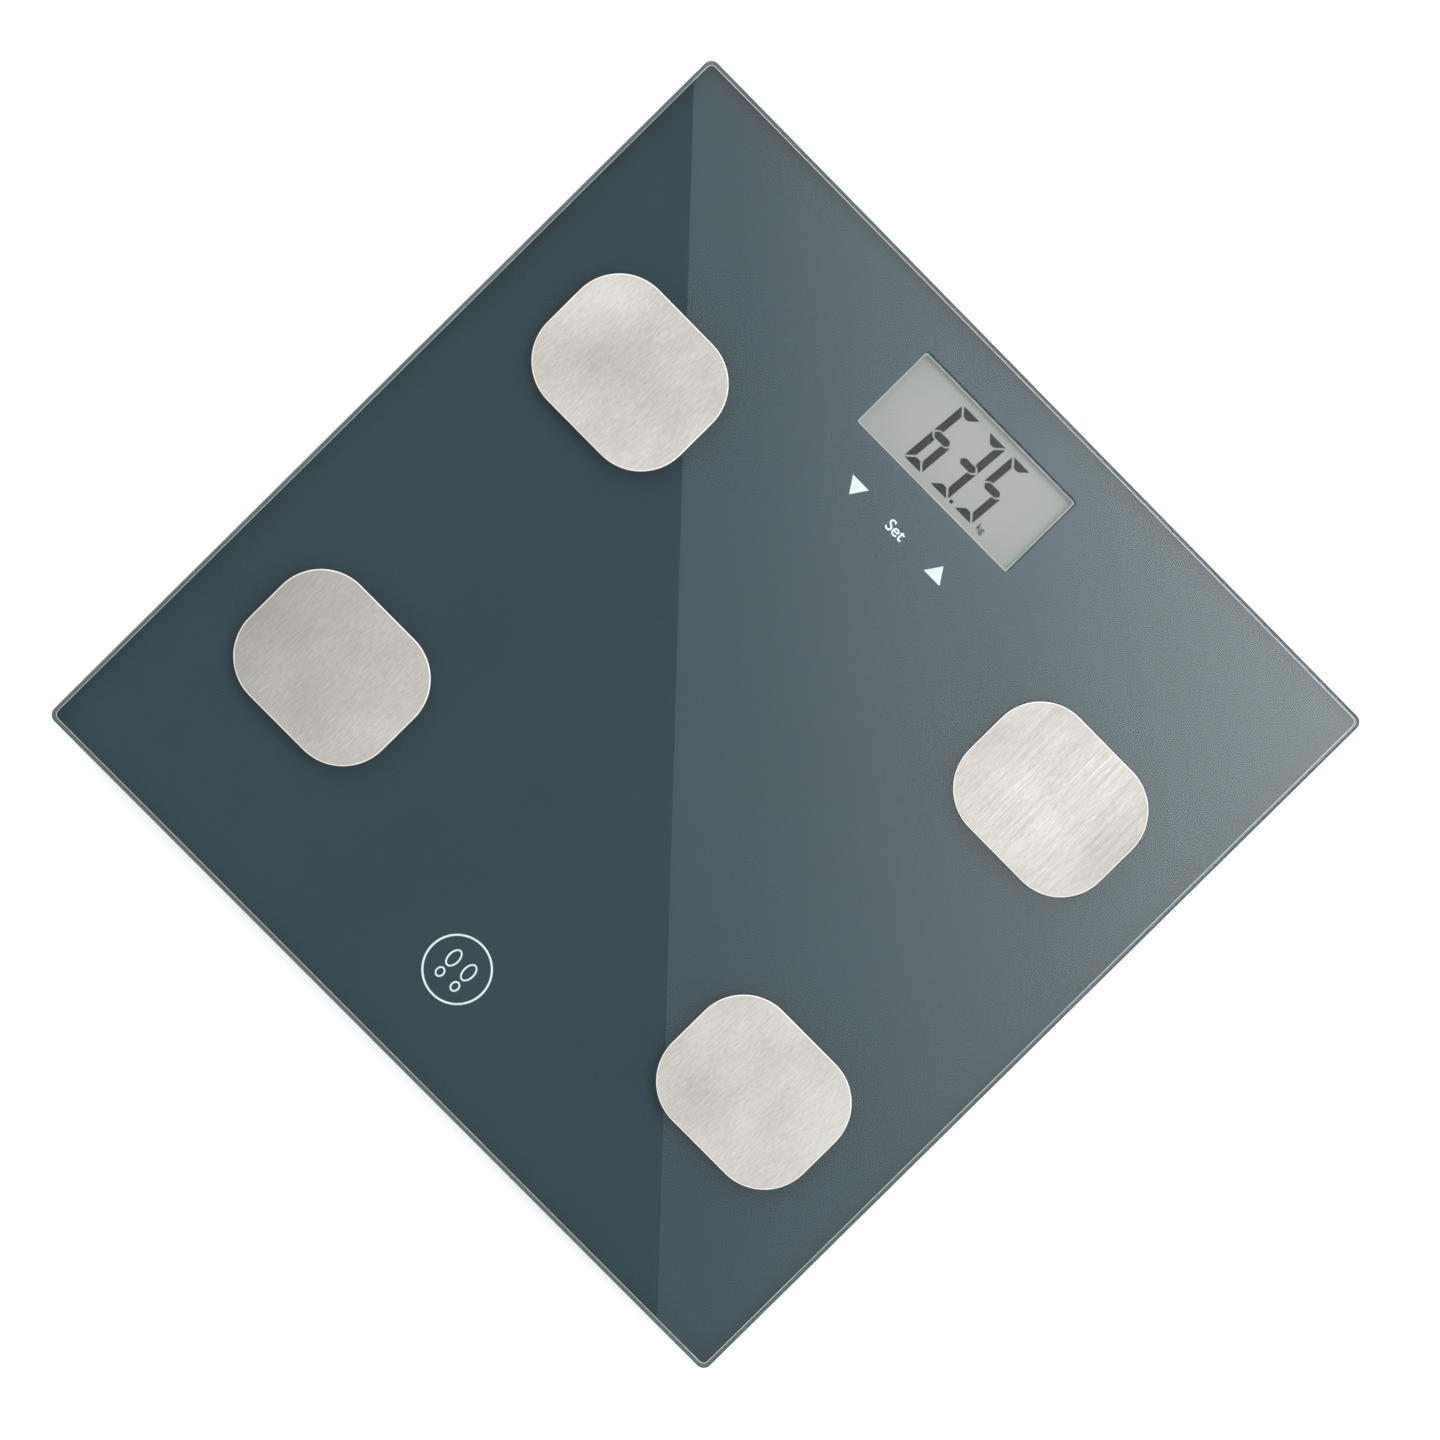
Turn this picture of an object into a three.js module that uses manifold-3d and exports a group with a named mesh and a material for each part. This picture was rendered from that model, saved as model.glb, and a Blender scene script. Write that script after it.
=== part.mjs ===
// Digital bathroom scale: a square pane of tempered glass, printed on its back, on four load-cell
// feet. Four steel electrodes lie on the pane. One shallow housing is glued under it, with the
// display, the circuit board and two AAA cells.
// Millimetres. Z is up from the floor, +X is the user's right and +Y is the display end.

import * as THREE from 'three';
import { mergeVertices } from 'three/addons/utils/BufferGeometryUtils.js';
import Module from 'manifold-3d';

const wasm = await Module();
wasm.setup();

// ---- Driving dimensions -------------------------------------------------------------------------

// Shared clearances
const FIT_GAP = 0.3;
const TOUCH_GAP = 0.05;
const PRESS_GAP = 0.1;
const THROUGH = 1;

// Pane
const PANE_W = 300;
const PANE_D = 300;
const PANE_T = 6;
const PANE_CORNER_R = 3;
const ARRIS = 1;
const PRINT_T = 0.2;
const PRINT_SET_BACK = 0.2;

// Electrodes and the studs that reach them through the pane
const ELECTRODE_W = 60.3;
const ELECTRODE_D = 50.4;
const ELECTRODE_T = 0.5;
const ELECTRODE_CORNER_R = 18;
const ELECTRODE_INSET_X = 53.5;
const ELECTRODE_INSET_REAR = 89.6;
const ELECTRODE_INSET_FRONT = 75.7;
const STUD_R = 1.5;
const STUD_HEAD_R = 4;
const STUD_HEAD_T = 1.2;

// Display window, display and key row
const WINDOW_W = 68.6;
const WINDOW_D = 31.9;
const WINDOW_R = 1;
const WINDOW_INSET = 32.3;
const BEZEL_SHOWING = 0.45;
const BEZEL_RIM = 2.5;
const BEZEL_T = 2.2;
const BEZEL_GAP = 0.2;
const LCD_MARGIN = 1.8;
const LCD_T = 2;
const ZEBRA_H = 1.8;
const ZEBRA_D = 2.2;
const ZEBRA_END_GAP = 4;
const KEY_DROP = 15.7;
const KEY_PITCH = 19;
const KEY_SPRING_R = 4;
const KEY_SPRING_WIRE = 0.5;
const KEY_SPRING_TURNS = 3;
const KEY_SPRING_GAP = 1;

// Circuit board
const BOARD_T = 1.6;
const BOARD_BELOW_KEYS = 9;
const BOARD_REAR_GAP = 3;
const BOARD_SIDE_GAP = 0.6;
const BOARD_POST_INSET = 6;
const SOLDER_H = 0.25;
const SOLDER_INSET = 2.5;
const CHIP_W = 7;
const CHIP_T = 1.1;
const CHIP_GAP = 3;
const SWITCH_W = 6;
const SWITCH_T = 1.9;
const SWITCH_OFFSET_X = 2;
const SWITCH_OFFSET_Y = 4;

// Cells and their contacts
const CELL_D = 10.4;
const CELL_BODY_L = 43.7;
const CELL_NUB_R = 1.9;
const CELL_NUB_L = 0.8;
const CELL_PITCH_GAP = 1.2;
const CELL_HEADROOM = 0.1;
const CONTACT_T = 0.5;
const CONTACT_W = 8;
const CONTACT_H = 7;
const CONTACT_SPRING_L = 3;
const CONTACT_WIRE = 0.6;
const CONTACT_SPRING_BASE_R = 3;
const CONTACT_SPRING_TIP_R = 1.4;
const CONTACT_SPRING_TURNS = 2.5;
const DIMPLE_BASE_R = 2.4;
const DIMPLE_TIP_R = 1.6;

// Housing
const FLOOR_CLEARANCE = 3.5;
const WALL = 2;
const COVER_T = 2;
const FRAME_TOP_T = 1.4;
const GASKET_T = 0.8;
const GASKET_W = 5;
const HOUSING_CORNER_R = 8;
const HOUSING_INSET_REAR = 7;
const BAY_WALL = 1.5;
const BAY_GAP = 0.6;
const FRONT_MARGIN = 3.4;
const PARTITION_T = 1.5;
const PARTITION_SET_BACK = 1.2;
const BOSS_R = 3.5;
const BOSS_INSET = 8;
const BOSS_SIDE_GAP = 2;
const BOSS_NOTCH_GAP = 0.5;
const SCREW_R = 1.25;
const SCREW_HEAD_R = 2.7;
const SCREW_HEAD_T = 1.9;
const SCREW_SINK = 0.6;
const SCREW_L = 7.5;
const POST_R = 2;

// Battery door
const DOOR_T = 1.7;
const DOOR_RIM = 1.5;
const DOOR_CORNER_R = 2;
const HINGE_DROP = 4;
const TAB_ROOM = 2.6;
const TAB_SIDE_ROOM = 2;
const DOOR_SINK = 0.5;
const TAB_W = 8;
const TAB_REACH = 2;
const TAB_T = 1;
const TAB_X = 12;
const LATCH_W = 14;
const LATCH_T = 1.5;
const LATCH_H = 1.4;
const FINGER_R = 4;
const FINGER_DEPTH = 1.2;

// Unit button
const BUTTON_R = 2.6;
const BUTTON_FLANGE_R = 3.8;
const BUTTON_FLANGE_T = 0.5;
const BUTTON_POST_R = 1.2;
const BUTTON_POST_MIN = 0.3;
const BUTTON_TRAVEL = 0.7;
const BUTTON_SINK = 0.4;

// Feet
const FOOT_MARGIN = 9;
const CUP_TOP_T = 1.6;
const CUP_SKIRT = 10.2;
const CUP_LIP_T = 1.2;
const CUP_LIP_W = 2.6;
const LOAD_CELL_W = 29;
const LOAD_CELL_T = 2.5;
const LOAD_CELL_R = 3;
const LOAD_CELL_CORNER_GAP = 2.74;
const LOAD_CELL_SLOT = 2;
const TONGUE_W = 11;
const TONGUE_ROOT = 8;
const TONGUE_END = 4;
const RIB_W = 3;
const RIB_H = 0.5;
const RAIL_T = 1.2;
const FOOT_TRAVEL = 0.5;
const SHELL_WALL = 2.2;
const SHELL_FLANGE_W = 2.5;
const SHELL_FLANGE_T = 1.2;
const SHELL_Z0 = 1.2;
const SHELL_SIDE_GAP = 0.5;
const SHELL_TRAY_WALL = 2;
const SHELL_CHAMFER = 0.6;
const FLANGE_GAP = 0.2;
const SHELL_FLOOR_T = 1.8;
const SHELL_BOSS_R = 5;
const PAD_T = 2.5;
const PAD_ROUND = 0.8;

// Leads and clips
const RIBBON_W = 3.6;
const RIBBON_T = 1.2;
const LEAD_D = 1.4;
const LEAD_BEND_R = 8;
const LEAD_SPACING = 4.5;
const LEAD_MARGIN = 4;
const REAR_LEAD_STEP = 3;
const LEAD_DIP = 8;
const RIBBON_TURN = 1.5;
const CLIP_L = 8;
const CLIP_WALL = 1.2;
const CLIP_Y = -28;

// Facets on round pieces
const ROUND = 20;
const SMALL_ROUND = 12;
const CORNER_FACETS = 6;
const ELECTRODE_FACETS = 10;
const WIRE_SIDES = 5;
const COIL_STEPS = 10;
const LEAD_SIDES = 8;
const SHORT_LEAD_STEPS = 12;
const LONG_LEAD_STEPS = 30;

// ---- Sizes and places that follow from them -------------------------------------------------------

// The taller of the cell stack and the electronics stack sets the height of the housing.
const CELL_STACK = COVER_T + CELL_D + CELL_HEADROOM;
const BUTTON_STACK = BUTTON_FLANGE_T + BUTTON_POST_MIN + BUTTON_TRAVEL + PRESS_GAP;
const DISPLAY_STACK = ZEBRA_H + LCD_T + BEZEL_T + BEZEL_GAP - GASKET_T;
const BOARD_STACK = COVER_T + BUTTON_STACK + SWITCH_T + BOARD_T + DISPLAY_STACK;
const HOUSING_Z0 = FLOOR_CLEARANCE;
const HOUSING_Z1 = HOUSING_Z0 + Math.max(CELL_STACK, BOARD_STACK);
const COVER_Z1 = HOUSING_Z0 + COVER_T;
const FRAME_TOP_Z0 = HOUSING_Z1 - FRAME_TOP_T;
const PRINT_Z0 = HOUSING_Z1 + GASKET_T;
const PANE_Z0 = PRINT_Z0 + PRINT_T;
const PANE_Z1 = PANE_Z0 + PANE_T;

const BEZEL_Z1 = PRINT_Z0 - BEZEL_GAP;
const LCD_Z1 = BEZEL_Z1 - BEZEL_T;
const LCD_Z0 = LCD_Z1 - LCD_T;
const BOARD_Z1 = LCD_Z0 - ZEBRA_H;
const BOARD_Z0 = BOARD_Z1 - BOARD_T;
const SPLIT_Z = BOARD_Z0;
const SWITCH_Z0 = BOARD_Z0 - SWITCH_T;

const CELL_L = CELL_BODY_L + CELL_NUB_L;
const CELL_Z = COVER_Z1 + CELL_D / 2;

// Along Y, measured forward from the rear edge of the pane
const WINDOW_Y = PANE_D / 2 - WINDOW_INSET;
const LCD_W = WINDOW_W + 2 * LCD_MARGIN;
const LCD_D = WINDOW_D + 2 * LCD_MARGIN;
const KEY_Y = WINDOW_Y - WINDOW_D / 2 - KEY_DROP;
const HOUSING_Y1 = Math.max(PANE_D / 2 - HOUSING_INSET_REAR, WINDOW_Y + LCD_D / 2 + WALL + GASKET_W);
const BOARD_Y0 = KEY_Y - BOARD_BELOW_KEYS;
const BOARD_Y1 = HOUSING_Y1 - WALL - BOARD_REAR_GAP;
const HINGE_Y = BOARD_Y0 - HINGE_DROP;
const BAY_Y1 = HINGE_Y - TAB_ROOM;
const CELL_REAR_Y = BAY_Y1 - BAY_GAP - CELL_D / 2;
const CELL_FRONT_Y = CELL_REAR_Y - CELL_D - CELL_PITCH_GAP;
const BAY_Y0 = CELL_FRONT_Y - CELL_D / 2 - BAY_GAP;
const DOOR_Y0 = BAY_Y0 - BAY_WALL - LATCH_T;
const HOUSING_Y0 = DOOR_Y0 - WALL - FRONT_MARGIN;

// Along X, measured outward from the middle
const BAY_X = CELL_L / 2 + CONTACT_SPRING_L + CONTACT_T + FIT_GAP;
const DOOR_X = BAY_X + BAY_WALL + DOOR_RIM;
const RIBBON_X = Math.max(LCD_W / 2, DOOR_X) + LEAD_MARGIN;
const LEAD_X = RIBBON_X + LEAD_SPACING;
const BOSS_X = LEAD_X + BOSS_R + BOSS_SIDE_GAP;
const HOUSING_X = BOSS_X + BOSS_INSET;
const BOARD_X = BOSS_X - BOARD_SIDE_GAP;
const REAR_LEAD_X = LEAD_X + REAR_LEAD_STEP;
const BOSS_Y0 = HOUSING_Y0 + BOSS_INSET;
const BOSS_Y1 = HOUSING_Y1 - BOSS_INSET;
const SWITCH_X = RIBBON_X + SWITCH_OFFSET_X;
const SWITCH_Y = KEY_Y + SWITCH_OFFSET_Y;

const ELECTRODE_X = PANE_W / 2 - ELECTRODE_INSET_X;
const ELECTRODE_REAR_Y = PANE_D / 2 - ELECTRODE_INSET_REAR;
const ELECTRODE_FRONT_Y = ELECTRODE_INSET_FRONT - PANE_D / 2;

// The load cell's corners set the bore of the foot cup.
const CUP_BORE_R = Math.SQRT2 * (LOAD_CELL_W / 2 - LOAD_CELL_R) + LOAD_CELL_R + LOAD_CELL_CORNER_GAP;
const CUP_R = CUP_BORE_R + WALL;
const FOOT_X = PANE_W / 2 - FOOT_MARGIN - CUP_R;
const FOOT_Y = PANE_D / 2 - FOOT_MARGIN - CUP_R;
const CUP_TOP_Z0 = PRINT_Z0 - CUP_TOP_T;
const CUP_Z0 = PRINT_Z0 - CUP_SKIRT;
const LIP_Z1 = CUP_Z0 + CUP_LIP_T;
const LIP_R = CUP_BORE_R - CUP_LIP_W;
const LOAD_CELL_Z1 = CUP_TOP_Z0 - RIB_H;
const LOAD_CELL_Z0 = LOAD_CELL_Z1 - LOAD_CELL_T;
const SHELL_R = LIP_R - SHELL_SIDE_GAP;
const FLANGE_Z0 = LIP_Z1 + FLANGE_GAP;
const FLANGE_Z1 = FLANGE_Z0 + SHELL_FLANGE_T;
const BOSS_TOP_Z = LOAD_CELL_Z0 - FOOT_TRAVEL - PRESS_GAP;
const PAD_R = SHELL_R - SHELL_WALL - FIT_GAP;

const LEAD_Z = (LOAD_CELL_Z0 + LOAD_CELL_Z1) / 2;

// ---- Shape helpers ---------------------------------------------------------------------------------

// A closed manifold-3d solid from a three.js geometry, with its faces turned outward.
function solid(geometry) {
  geometry.deleteAttribute('normal');
  geometry.deleteAttribute('uv');
  const merged = mergeVertices(geometry, 1e-4);
  const points = merged.attributes.position.array;
  const corners = merged.index.array;
  const triangles = [];
  let volume = 0;
  for (let i = 0; i < corners.length; i += 3) {
    const [a, b, c] = [corners[i], corners[i + 1], corners[i + 2]];
    if (a === b || b === c || c === a) continue;
    triangles.push(a, b, c);
    const pa = new THREE.Vector3().fromArray(points, 3 * a);
    const pb = new THREE.Vector3().fromArray(points, 3 * b);
    const pc = new THREE.Vector3().fromArray(points, 3 * c);
    volume += pa.dot(pb.cross(pc));
  }
  if (volume < 0) triangles.reverse();
  const mesh = new wasm.Mesh({
    numProp: 3,
    vertProperties: new Float32Array(points),
    triVerts: new Uint32Array(triangles),
  });
  return new wasm.Manifold(mesh);
}

function join(first, ...others) {
  return others.reduce((sum, other) => sum.add(other), first);
}

function cut(first, ...others) {
  return others.reduce((rest, other) => rest.subtract(other), first);
}

// A flat outline raised from z0 to z1, with both faces exactly on those heights. Each arc gets the
// given number of facets, because three.js draws one with twice its curveSegments.
function plate(shape, z0, z1, facets = CORNER_FACETS) {
  const options = { depth: 1, bevelEnabled: false, curveSegments: facets / 2 };
  const geometry = new THREE.ExtrudeGeometry(shape, options);
  const position = geometry.attributes.position;
  for (let i = 0; i < position.count; i += 1) {
    position.setZ(i, position.getZ(i) > 0.5 ? z1 : z0);
  }
  return solid(geometry);
}

function roundedRect(x0, y0, x1, y1, r) {
  const shape = new THREE.Shape();
  shape.absarc(x1 - r, y0 + r, r, -Math.PI / 2, 0);
  shape.absarc(x1 - r, y1 - r, r, 0, Math.PI / 2);
  shape.absarc(x0 + r, y1 - r, r, Math.PI / 2, Math.PI);
  shape.absarc(x0 + r, y0 + r, r, Math.PI, 1.5 * Math.PI);
  return shape;
}

function box(x0, x1, y0, y1, z0, z1) {
  const shape = new THREE.Shape();
  shape.moveTo(x0, y0);
  shape.lineTo(x1, y0);
  shape.lineTo(x1, y1);
  shape.lineTo(x0, y1);
  return plate(shape, z0, z1);
}

function centredBox(x, y, w, d, z0, z1) {
  return box(x - w / 2, x + w / 2, y - d / 2, y + d / 2, z0, z1);
}

function disc(x, y, r, z0, z1, sides = SMALL_ROUND) {
  const shape = new THREE.Shape();
  shape.absarc(x, y, r, 0, 2 * Math.PI);
  return plate(shape, z0, z1, sides);
}

// A profile of (radius, height) points turned about the upright axis through (x, y).
function turned(profile, x = 0, y = 0, sides = ROUND) {
  const points = profile.map(([r, z]) => new THREE.Vector2(r, z));
  const geometry = new THREE.LatheGeometry(points, sides);
  return solid(geometry.rotateX(Math.PI / 2).translate(x, y, 0));
}

// A section swept along a path.
function swept(section, path, steps) {
  return solid(new THREE.ExtrudeGeometry(section, { extrudePath: path, steps, bevelEnabled: false }));
}

function ngon(r, sides) {
  const shape = new THREE.Shape();
  for (let i = 0; i < sides; i += 1) {
    const turn = (2 * Math.PI * (i + 0.5)) / sides;
    shape[i ? 'lineTo' : 'moveTo'](r * Math.cos(turn), r * Math.sin(turn));
  }
  return shape;
}

// A helix about the upright axis through (x, y), from radius r0 at z0 to r1 at z1.
class Coil extends THREE.Curve {
  constructor(x, y, r0, r1, z0, z1, turns) {
    super();
    Object.assign(this, { x, y, r0, r1, z0, z1, turns });
  }

  getPoint(t, target = new THREE.Vector3()) {
    const r = THREE.MathUtils.lerp(this.r0, this.r1, t);
    const turn = 2 * Math.PI * this.turns * t;
    const z = THREE.MathUtils.lerp(this.z0, this.z1, t);
    return target.set(this.x + r * Math.cos(turn), this.y + r * Math.sin(turn), z);
  }
}

// Straight runs between the points, with a smooth bend of about the given radius at each corner.
function bentPath(points, radius) {
  const path = new THREE.CurvePath();
  let from = points[0];
  for (let i = 1; i < points.length - 1; i += 1) {
    const [before, corner, after] = [points[i - 1], points[i], points[i + 1]];
    const reach = Math.min(radius, before.distanceTo(corner) / 2, corner.distanceTo(after) / 2);
    const start = corner.clone().add(before.clone().sub(corner).setLength(reach));
    const end = corner.clone().add(after.clone().sub(corner).setLength(reach));
    path.add(new THREE.LineCurve3(from, start));
    path.add(new THREE.QuadraticBezierCurve3(start, corner, end));
    from = end;
  }
  path.add(new THREE.LineCurve3(from, points[points.length - 1]));
  return path;
}

function finish(color, roughness, metalness = 0) {
  return new THREE.MeshStandardMaterial({ color, roughness, metalness });
}

function piece(name, body, material) {
  const { vertProperties, triVerts } = body.getMesh();
  const geometry = new THREE.BufferGeometry();
  geometry.setAttribute('position', new THREE.BufferAttribute(new Float32Array(vertProperties), 3));
  geometry.setIndex(new THREE.BufferAttribute(new Uint32Array(triVerts), 1));
  geometry.computeVertexNormals();
  const mesh = new THREE.Mesh(geometry, material);
  mesh.name = name;
  return mesh;
}

// ---- Finishes --------------------------------------------------------------------------------------

const GLASS = finish(0x4a5b63, 0.05);
const ENAMEL = finish(0x46565e, 0.4);
const STEEL = finish(0xc9c3bd, 0.35, 1);
const PLATED = finish(0xb9bcc0, 0.3, 1);
const HOUSING_PLASTIC = finish(0xd9dcdc, 0.55);
const FOAM = finish(0x2a2a2a, 0.9);
const RUBBER = finish(0x3b3d3f, 0.85);
const LAMINATE = finish(0x2f6b45, 0.5);
const LCD_GLASS = finish(0xb5b5b5, 0.2);
const BEZEL_PLASTIC = finish(0xdfe5df, 0.5);
const CHIP_RESIN = finish(0x1c1c1e, 0.5);
const CELL_SLEEVE = finish(0x3c6e8f, 0.35, 0.3);
const LEAD_SHEATH = finish(0x9c2f2a, 0.5);

const SIDES = [['left', -1], ['right', 1]];
const ENDS = [['rear', 1], ['front', -1]];
const QUARTERS = ENDS.flatMap(([end, sy]) => SIDES.map(([side, sx]) => (
  { name: `${end}_${side}`, sx, sy })));

function electrodeY(sy) {
  return sy > 0 ? ELECTRODE_REAR_Y : ELECTRODE_FRONT_Y;
}

// ---- Pane, print and electrodes --------------------------------------------------------------------

function studHoles(z0, z1) {
  return QUARTERS.map(({ sx, sy }) => disc(sx * ELECTRODE_X, electrodeY(sy), STUD_R + FIT_GAP, z0, z1));
}

function glassPlatform() {
  const [x, y] = [PANE_W / 2 - ARRIS, PANE_D / 2 - ARRIS];
  const outline = roundedRect(-x, -y, x, y, Math.max(PANE_CORNER_R - ARRIS, 0.5));
  const geometry = new THREE.ExtrudeGeometry(outline, {
    depth: PANE_T - 2 * ARRIS,
    bevelThickness: ARRIS,
    bevelSize: ARRIS,
    bevelSegments: 1,
    curveSegments: CORNER_FACETS / 2,
  });
  const pane = solid(geometry.translate(0, 0, PANE_Z0 + ARRIS));
  return cut(pane, ...studHoles(PANE_Z0 - THROUGH, PANE_Z1 + THROUGH));
}

function backPrint() {
  const inset = ARRIS + PRINT_SET_BACK;
  const [x, y] = [PANE_W / 2 - inset, PANE_D / 2 - inset];
  const film = plate(roundedRect(-x, -y, x, y, PANE_CORNER_R), PRINT_Z0, PANE_Z0);
  const [w, d] = [WINDOW_W / 2, WINDOW_D / 2];
  const opening = roundedRect(-w, WINDOW_Y - d, w, WINDOW_Y + d, WINDOW_R);
  const [z0, z1] = [PRINT_Z0 - THROUGH, PANE_Z0 + THROUGH];
  return cut(film, plate(opening, z0, z1), ...studHoles(z0, z1));
}

function electrode({ sx, sy }) {
  const [x, y] = [sx * ELECTRODE_X, electrodeY(sy)];
  const [w, d] = [ELECTRODE_W / 2, ELECTRODE_D / 2];
  const outline = roundedRect(x - w, y - d, x + w, y + d, ELECTRODE_CORNER_R);
  return plate(outline, PANE_Z1, PANE_Z1 + ELECTRODE_T, ELECTRODE_FACETS);
}

function electrodeStud({ sx, sy }) {
  const tailZ = LEAD_Z + LEAD_D / 2 + TOUCH_GAP;
  const headZ = PRINT_Z0 - STUD_HEAD_T;
  const profile = [
    [0, tailZ], [STUD_R, tailZ], [STUD_R, headZ], [STUD_HEAD_R, headZ],
    [STUD_HEAD_R, PRINT_Z0], [STUD_R, PRINT_Z0], [STUD_R, PANE_Z1], [0, PANE_Z1],
  ];
  return turned(profile, sx * ELECTRODE_X, electrodeY(sy), SMALL_ROUND);
}

// ---- Housing ---------------------------------------------------------------------------------------

function housingOutline(inset) {
  const [x, r] = [HOUSING_X - inset, Math.max(HOUSING_CORNER_R - inset, 1)];
  return roundedRect(-x, HOUSING_Y0 + inset, x, HOUSING_Y1 - inset, r);
}

// An upright wall that follows the housing's outline.
function housingWall(inset, width, z0, z1) {
  const inside = plate(housingOutline(inset + width), z0 - THROUGH, z1 + THROUGH);
  return cut(plate(housingOutline(inset), z0, z1), inside);
}

function bosses(r, z0, z1) {
  return SIDES.flatMap(([, sx]) => [BOSS_Y0, BOSS_Y1].map((y) => disc(sx * BOSS_X, y, r, z0, z1)));
}

function housingGasket() {
  return housingWall(0, GASKET_W, HOUSING_Z1, PRINT_Z0);
}

// Slots in the frame's walls where the leads come in.
function leadSlots() {
  const [z0, z1] = [LEAD_Z - LEAD_D / 2 - FIT_GAP, LEAD_Z + LEAD_D / 2 + FIT_GAP];
  const ribbon = RIBBON_W + 2 * FIT_GAP;
  const lead = LEAD_D + 2 * FIT_GAP;
  const depth = 3 * WALL;
  return SIDES.flatMap(([, sx]) => [
    centredBox(sx * RIBBON_X, HOUSING_Y0 + WALL / 2, ribbon, depth, z0, z1),
    centredBox(sx * LEAD_X, HOUSING_Y0 + WALL / 2, lead, depth, z0, z1),
    centredBox(sx * (HOUSING_X - WALL / 2), FOOT_Y, depth, ribbon, z0, z1),
    centredBox(sx * (HOUSING_X - WALL / 2), ELECTRODE_REAR_Y, depth, lead, z0, z1),
  ]);
}

function bayWalls() {
  const z0 = HOUSING_Z0 + DOOR_T + 2 * FIT_GAP;
  const [x, y0, y1] = [BAY_X + BAY_WALL, BAY_Y0 - BAY_WALL, BAY_Y1 + BAY_WALL];
  const outer = box(-x, x, y0, y1, z0, FRAME_TOP_Z0);
  const inner = box(-BAY_X, BAY_X, BAY_Y0, BAY_Y1, z0 - THROUGH, FRAME_TOP_Z0 + THROUGH);
  const reliefX = TAB_X + TAB_W / 2 + TAB_SIDE_ROOM;
  const tabRelief = box(-reliefX, reliefX, BAY_Y1 - THROUGH, y1 + THROUGH, z0 - THROUGH, SPLIT_Z);
  return cut(outer, inner, tabRelief);
}

function housingFrame() {
  const top = plate(housingOutline(0), FRAME_TOP_Z0, HOUSING_Z1);
  const wall = housingWall(0, WALL, SPLIT_Z, FRAME_TOP_Z0);
  const posts = bosses(BOSS_R, SPLIT_Z, FRAME_TOP_Z0);
  const [w, d] = [bezelHalf(WINDOW_W) + FIT_GAP, bezelHalf(WINDOW_D) + FIT_GAP];
  const [z0, z1] = [FRAME_TOP_Z0 - THROUGH, HOUSING_Z1 + THROUGH];
  const displayHole = box(-w, w, WINDOW_Y - d, WINDOW_Y + d, z0, z1);
  const keyHoles = [-1, 0, 1].map((i) => disc(i * KEY_PITCH, KEY_Y, KEY_SPRING_R + KEY_SPRING_GAP, z0, z1));
  const [x, reach] = [CELL_L / 2 + FIT_GAP, CELL_D / 2 - 1];
  const [y0, y1] = [CELL_FRONT_Y - reach, CELL_REAR_Y + reach];
  const cellHole = box(-x, x, y0, y1, z0, z1);
  const pilots = bosses(SCREW_R + FIT_GAP, SPLIT_Z - THROUGH, FRAME_TOP_Z0);
  const shell = join(top, wall, bayWalls(), ...posts);
  return cut(shell, displayHole, cellHole, ...keyHoles, ...pilots, ...leadSlots());
}

function housingCover() {
  const floor = plate(housingOutline(0), HOUSING_Z0, COVER_Z1);
  const wall = housingWall(0, WALL, COVER_Z1, SPLIT_Z);
  const partitionY = BOARD_Y0 - PARTITION_SET_BACK;
  const partition = box(-DOOR_X, DOOR_X, partitionY, partitionY + PARTITION_T, COVER_Z1, SPLIT_Z);
  const postYs = [BOARD_Y0 + BOARD_POST_INSET, BOARD_Y1 - BOARD_POST_INSET];
  const boardPosts = SIDES.flatMap(([, sx]) => postYs.map((y) => (
    disc(sx * (LCD_W / 2 - BOARD_POST_INSET), y, POST_R, COVER_Z1, SPLIT_Z))));
  const shell = join(floor, wall, partition, ...boardPosts, ...bosses(BOSS_R, COVER_Z1, SPLIT_Z));
  const doorHole = roundedRect(-DOOR_X, DOOR_Y0, DOOR_X, HINGE_Y, DOOR_CORNER_R);
  const headSeat = HOUSING_Z0 + SCREW_SINK + SCREW_HEAD_T;
  return cut(
    shell,
    plate(doorHole, HOUSING_Z0 - THROUGH, COVER_Z1 + PRESS_GAP),
    disc(0, DOOR_Y0, FINGER_R, HOUSING_Z0 - THROUGH, HOUSING_Z0 + FINGER_DEPTH),
    disc(SWITCH_X, SWITCH_Y, BUTTON_R + FIT_GAP, HOUSING_Z0 - THROUGH, COVER_Z1 + PRESS_GAP),
    ...bosses(SCREW_HEAD_R + FIT_GAP, HOUSING_Z0 - THROUGH, headSeat),
    ...bosses(SCREW_R + FIT_GAP, HOUSING_Z0 - THROUGH, SPLIT_Z + THROUGH),
  );
}

// The cover screw enters from below, its head on the step of the counterbore.
function coverScrew(x, y) {
  const z0 = HOUSING_Z0 + SCREW_SINK;
  const seat = z0 + SCREW_HEAD_T;
  const tip = seat + SCREW_L;
  const profile = [
    [0, z0], [SCREW_HEAD_R, z0], [SCREW_HEAD_R, seat], [SCREW_R, seat], [SCREW_R, tip], [0, tip],
  ];
  return turned(profile, x, y, SMALL_ROUND);
}

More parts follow.
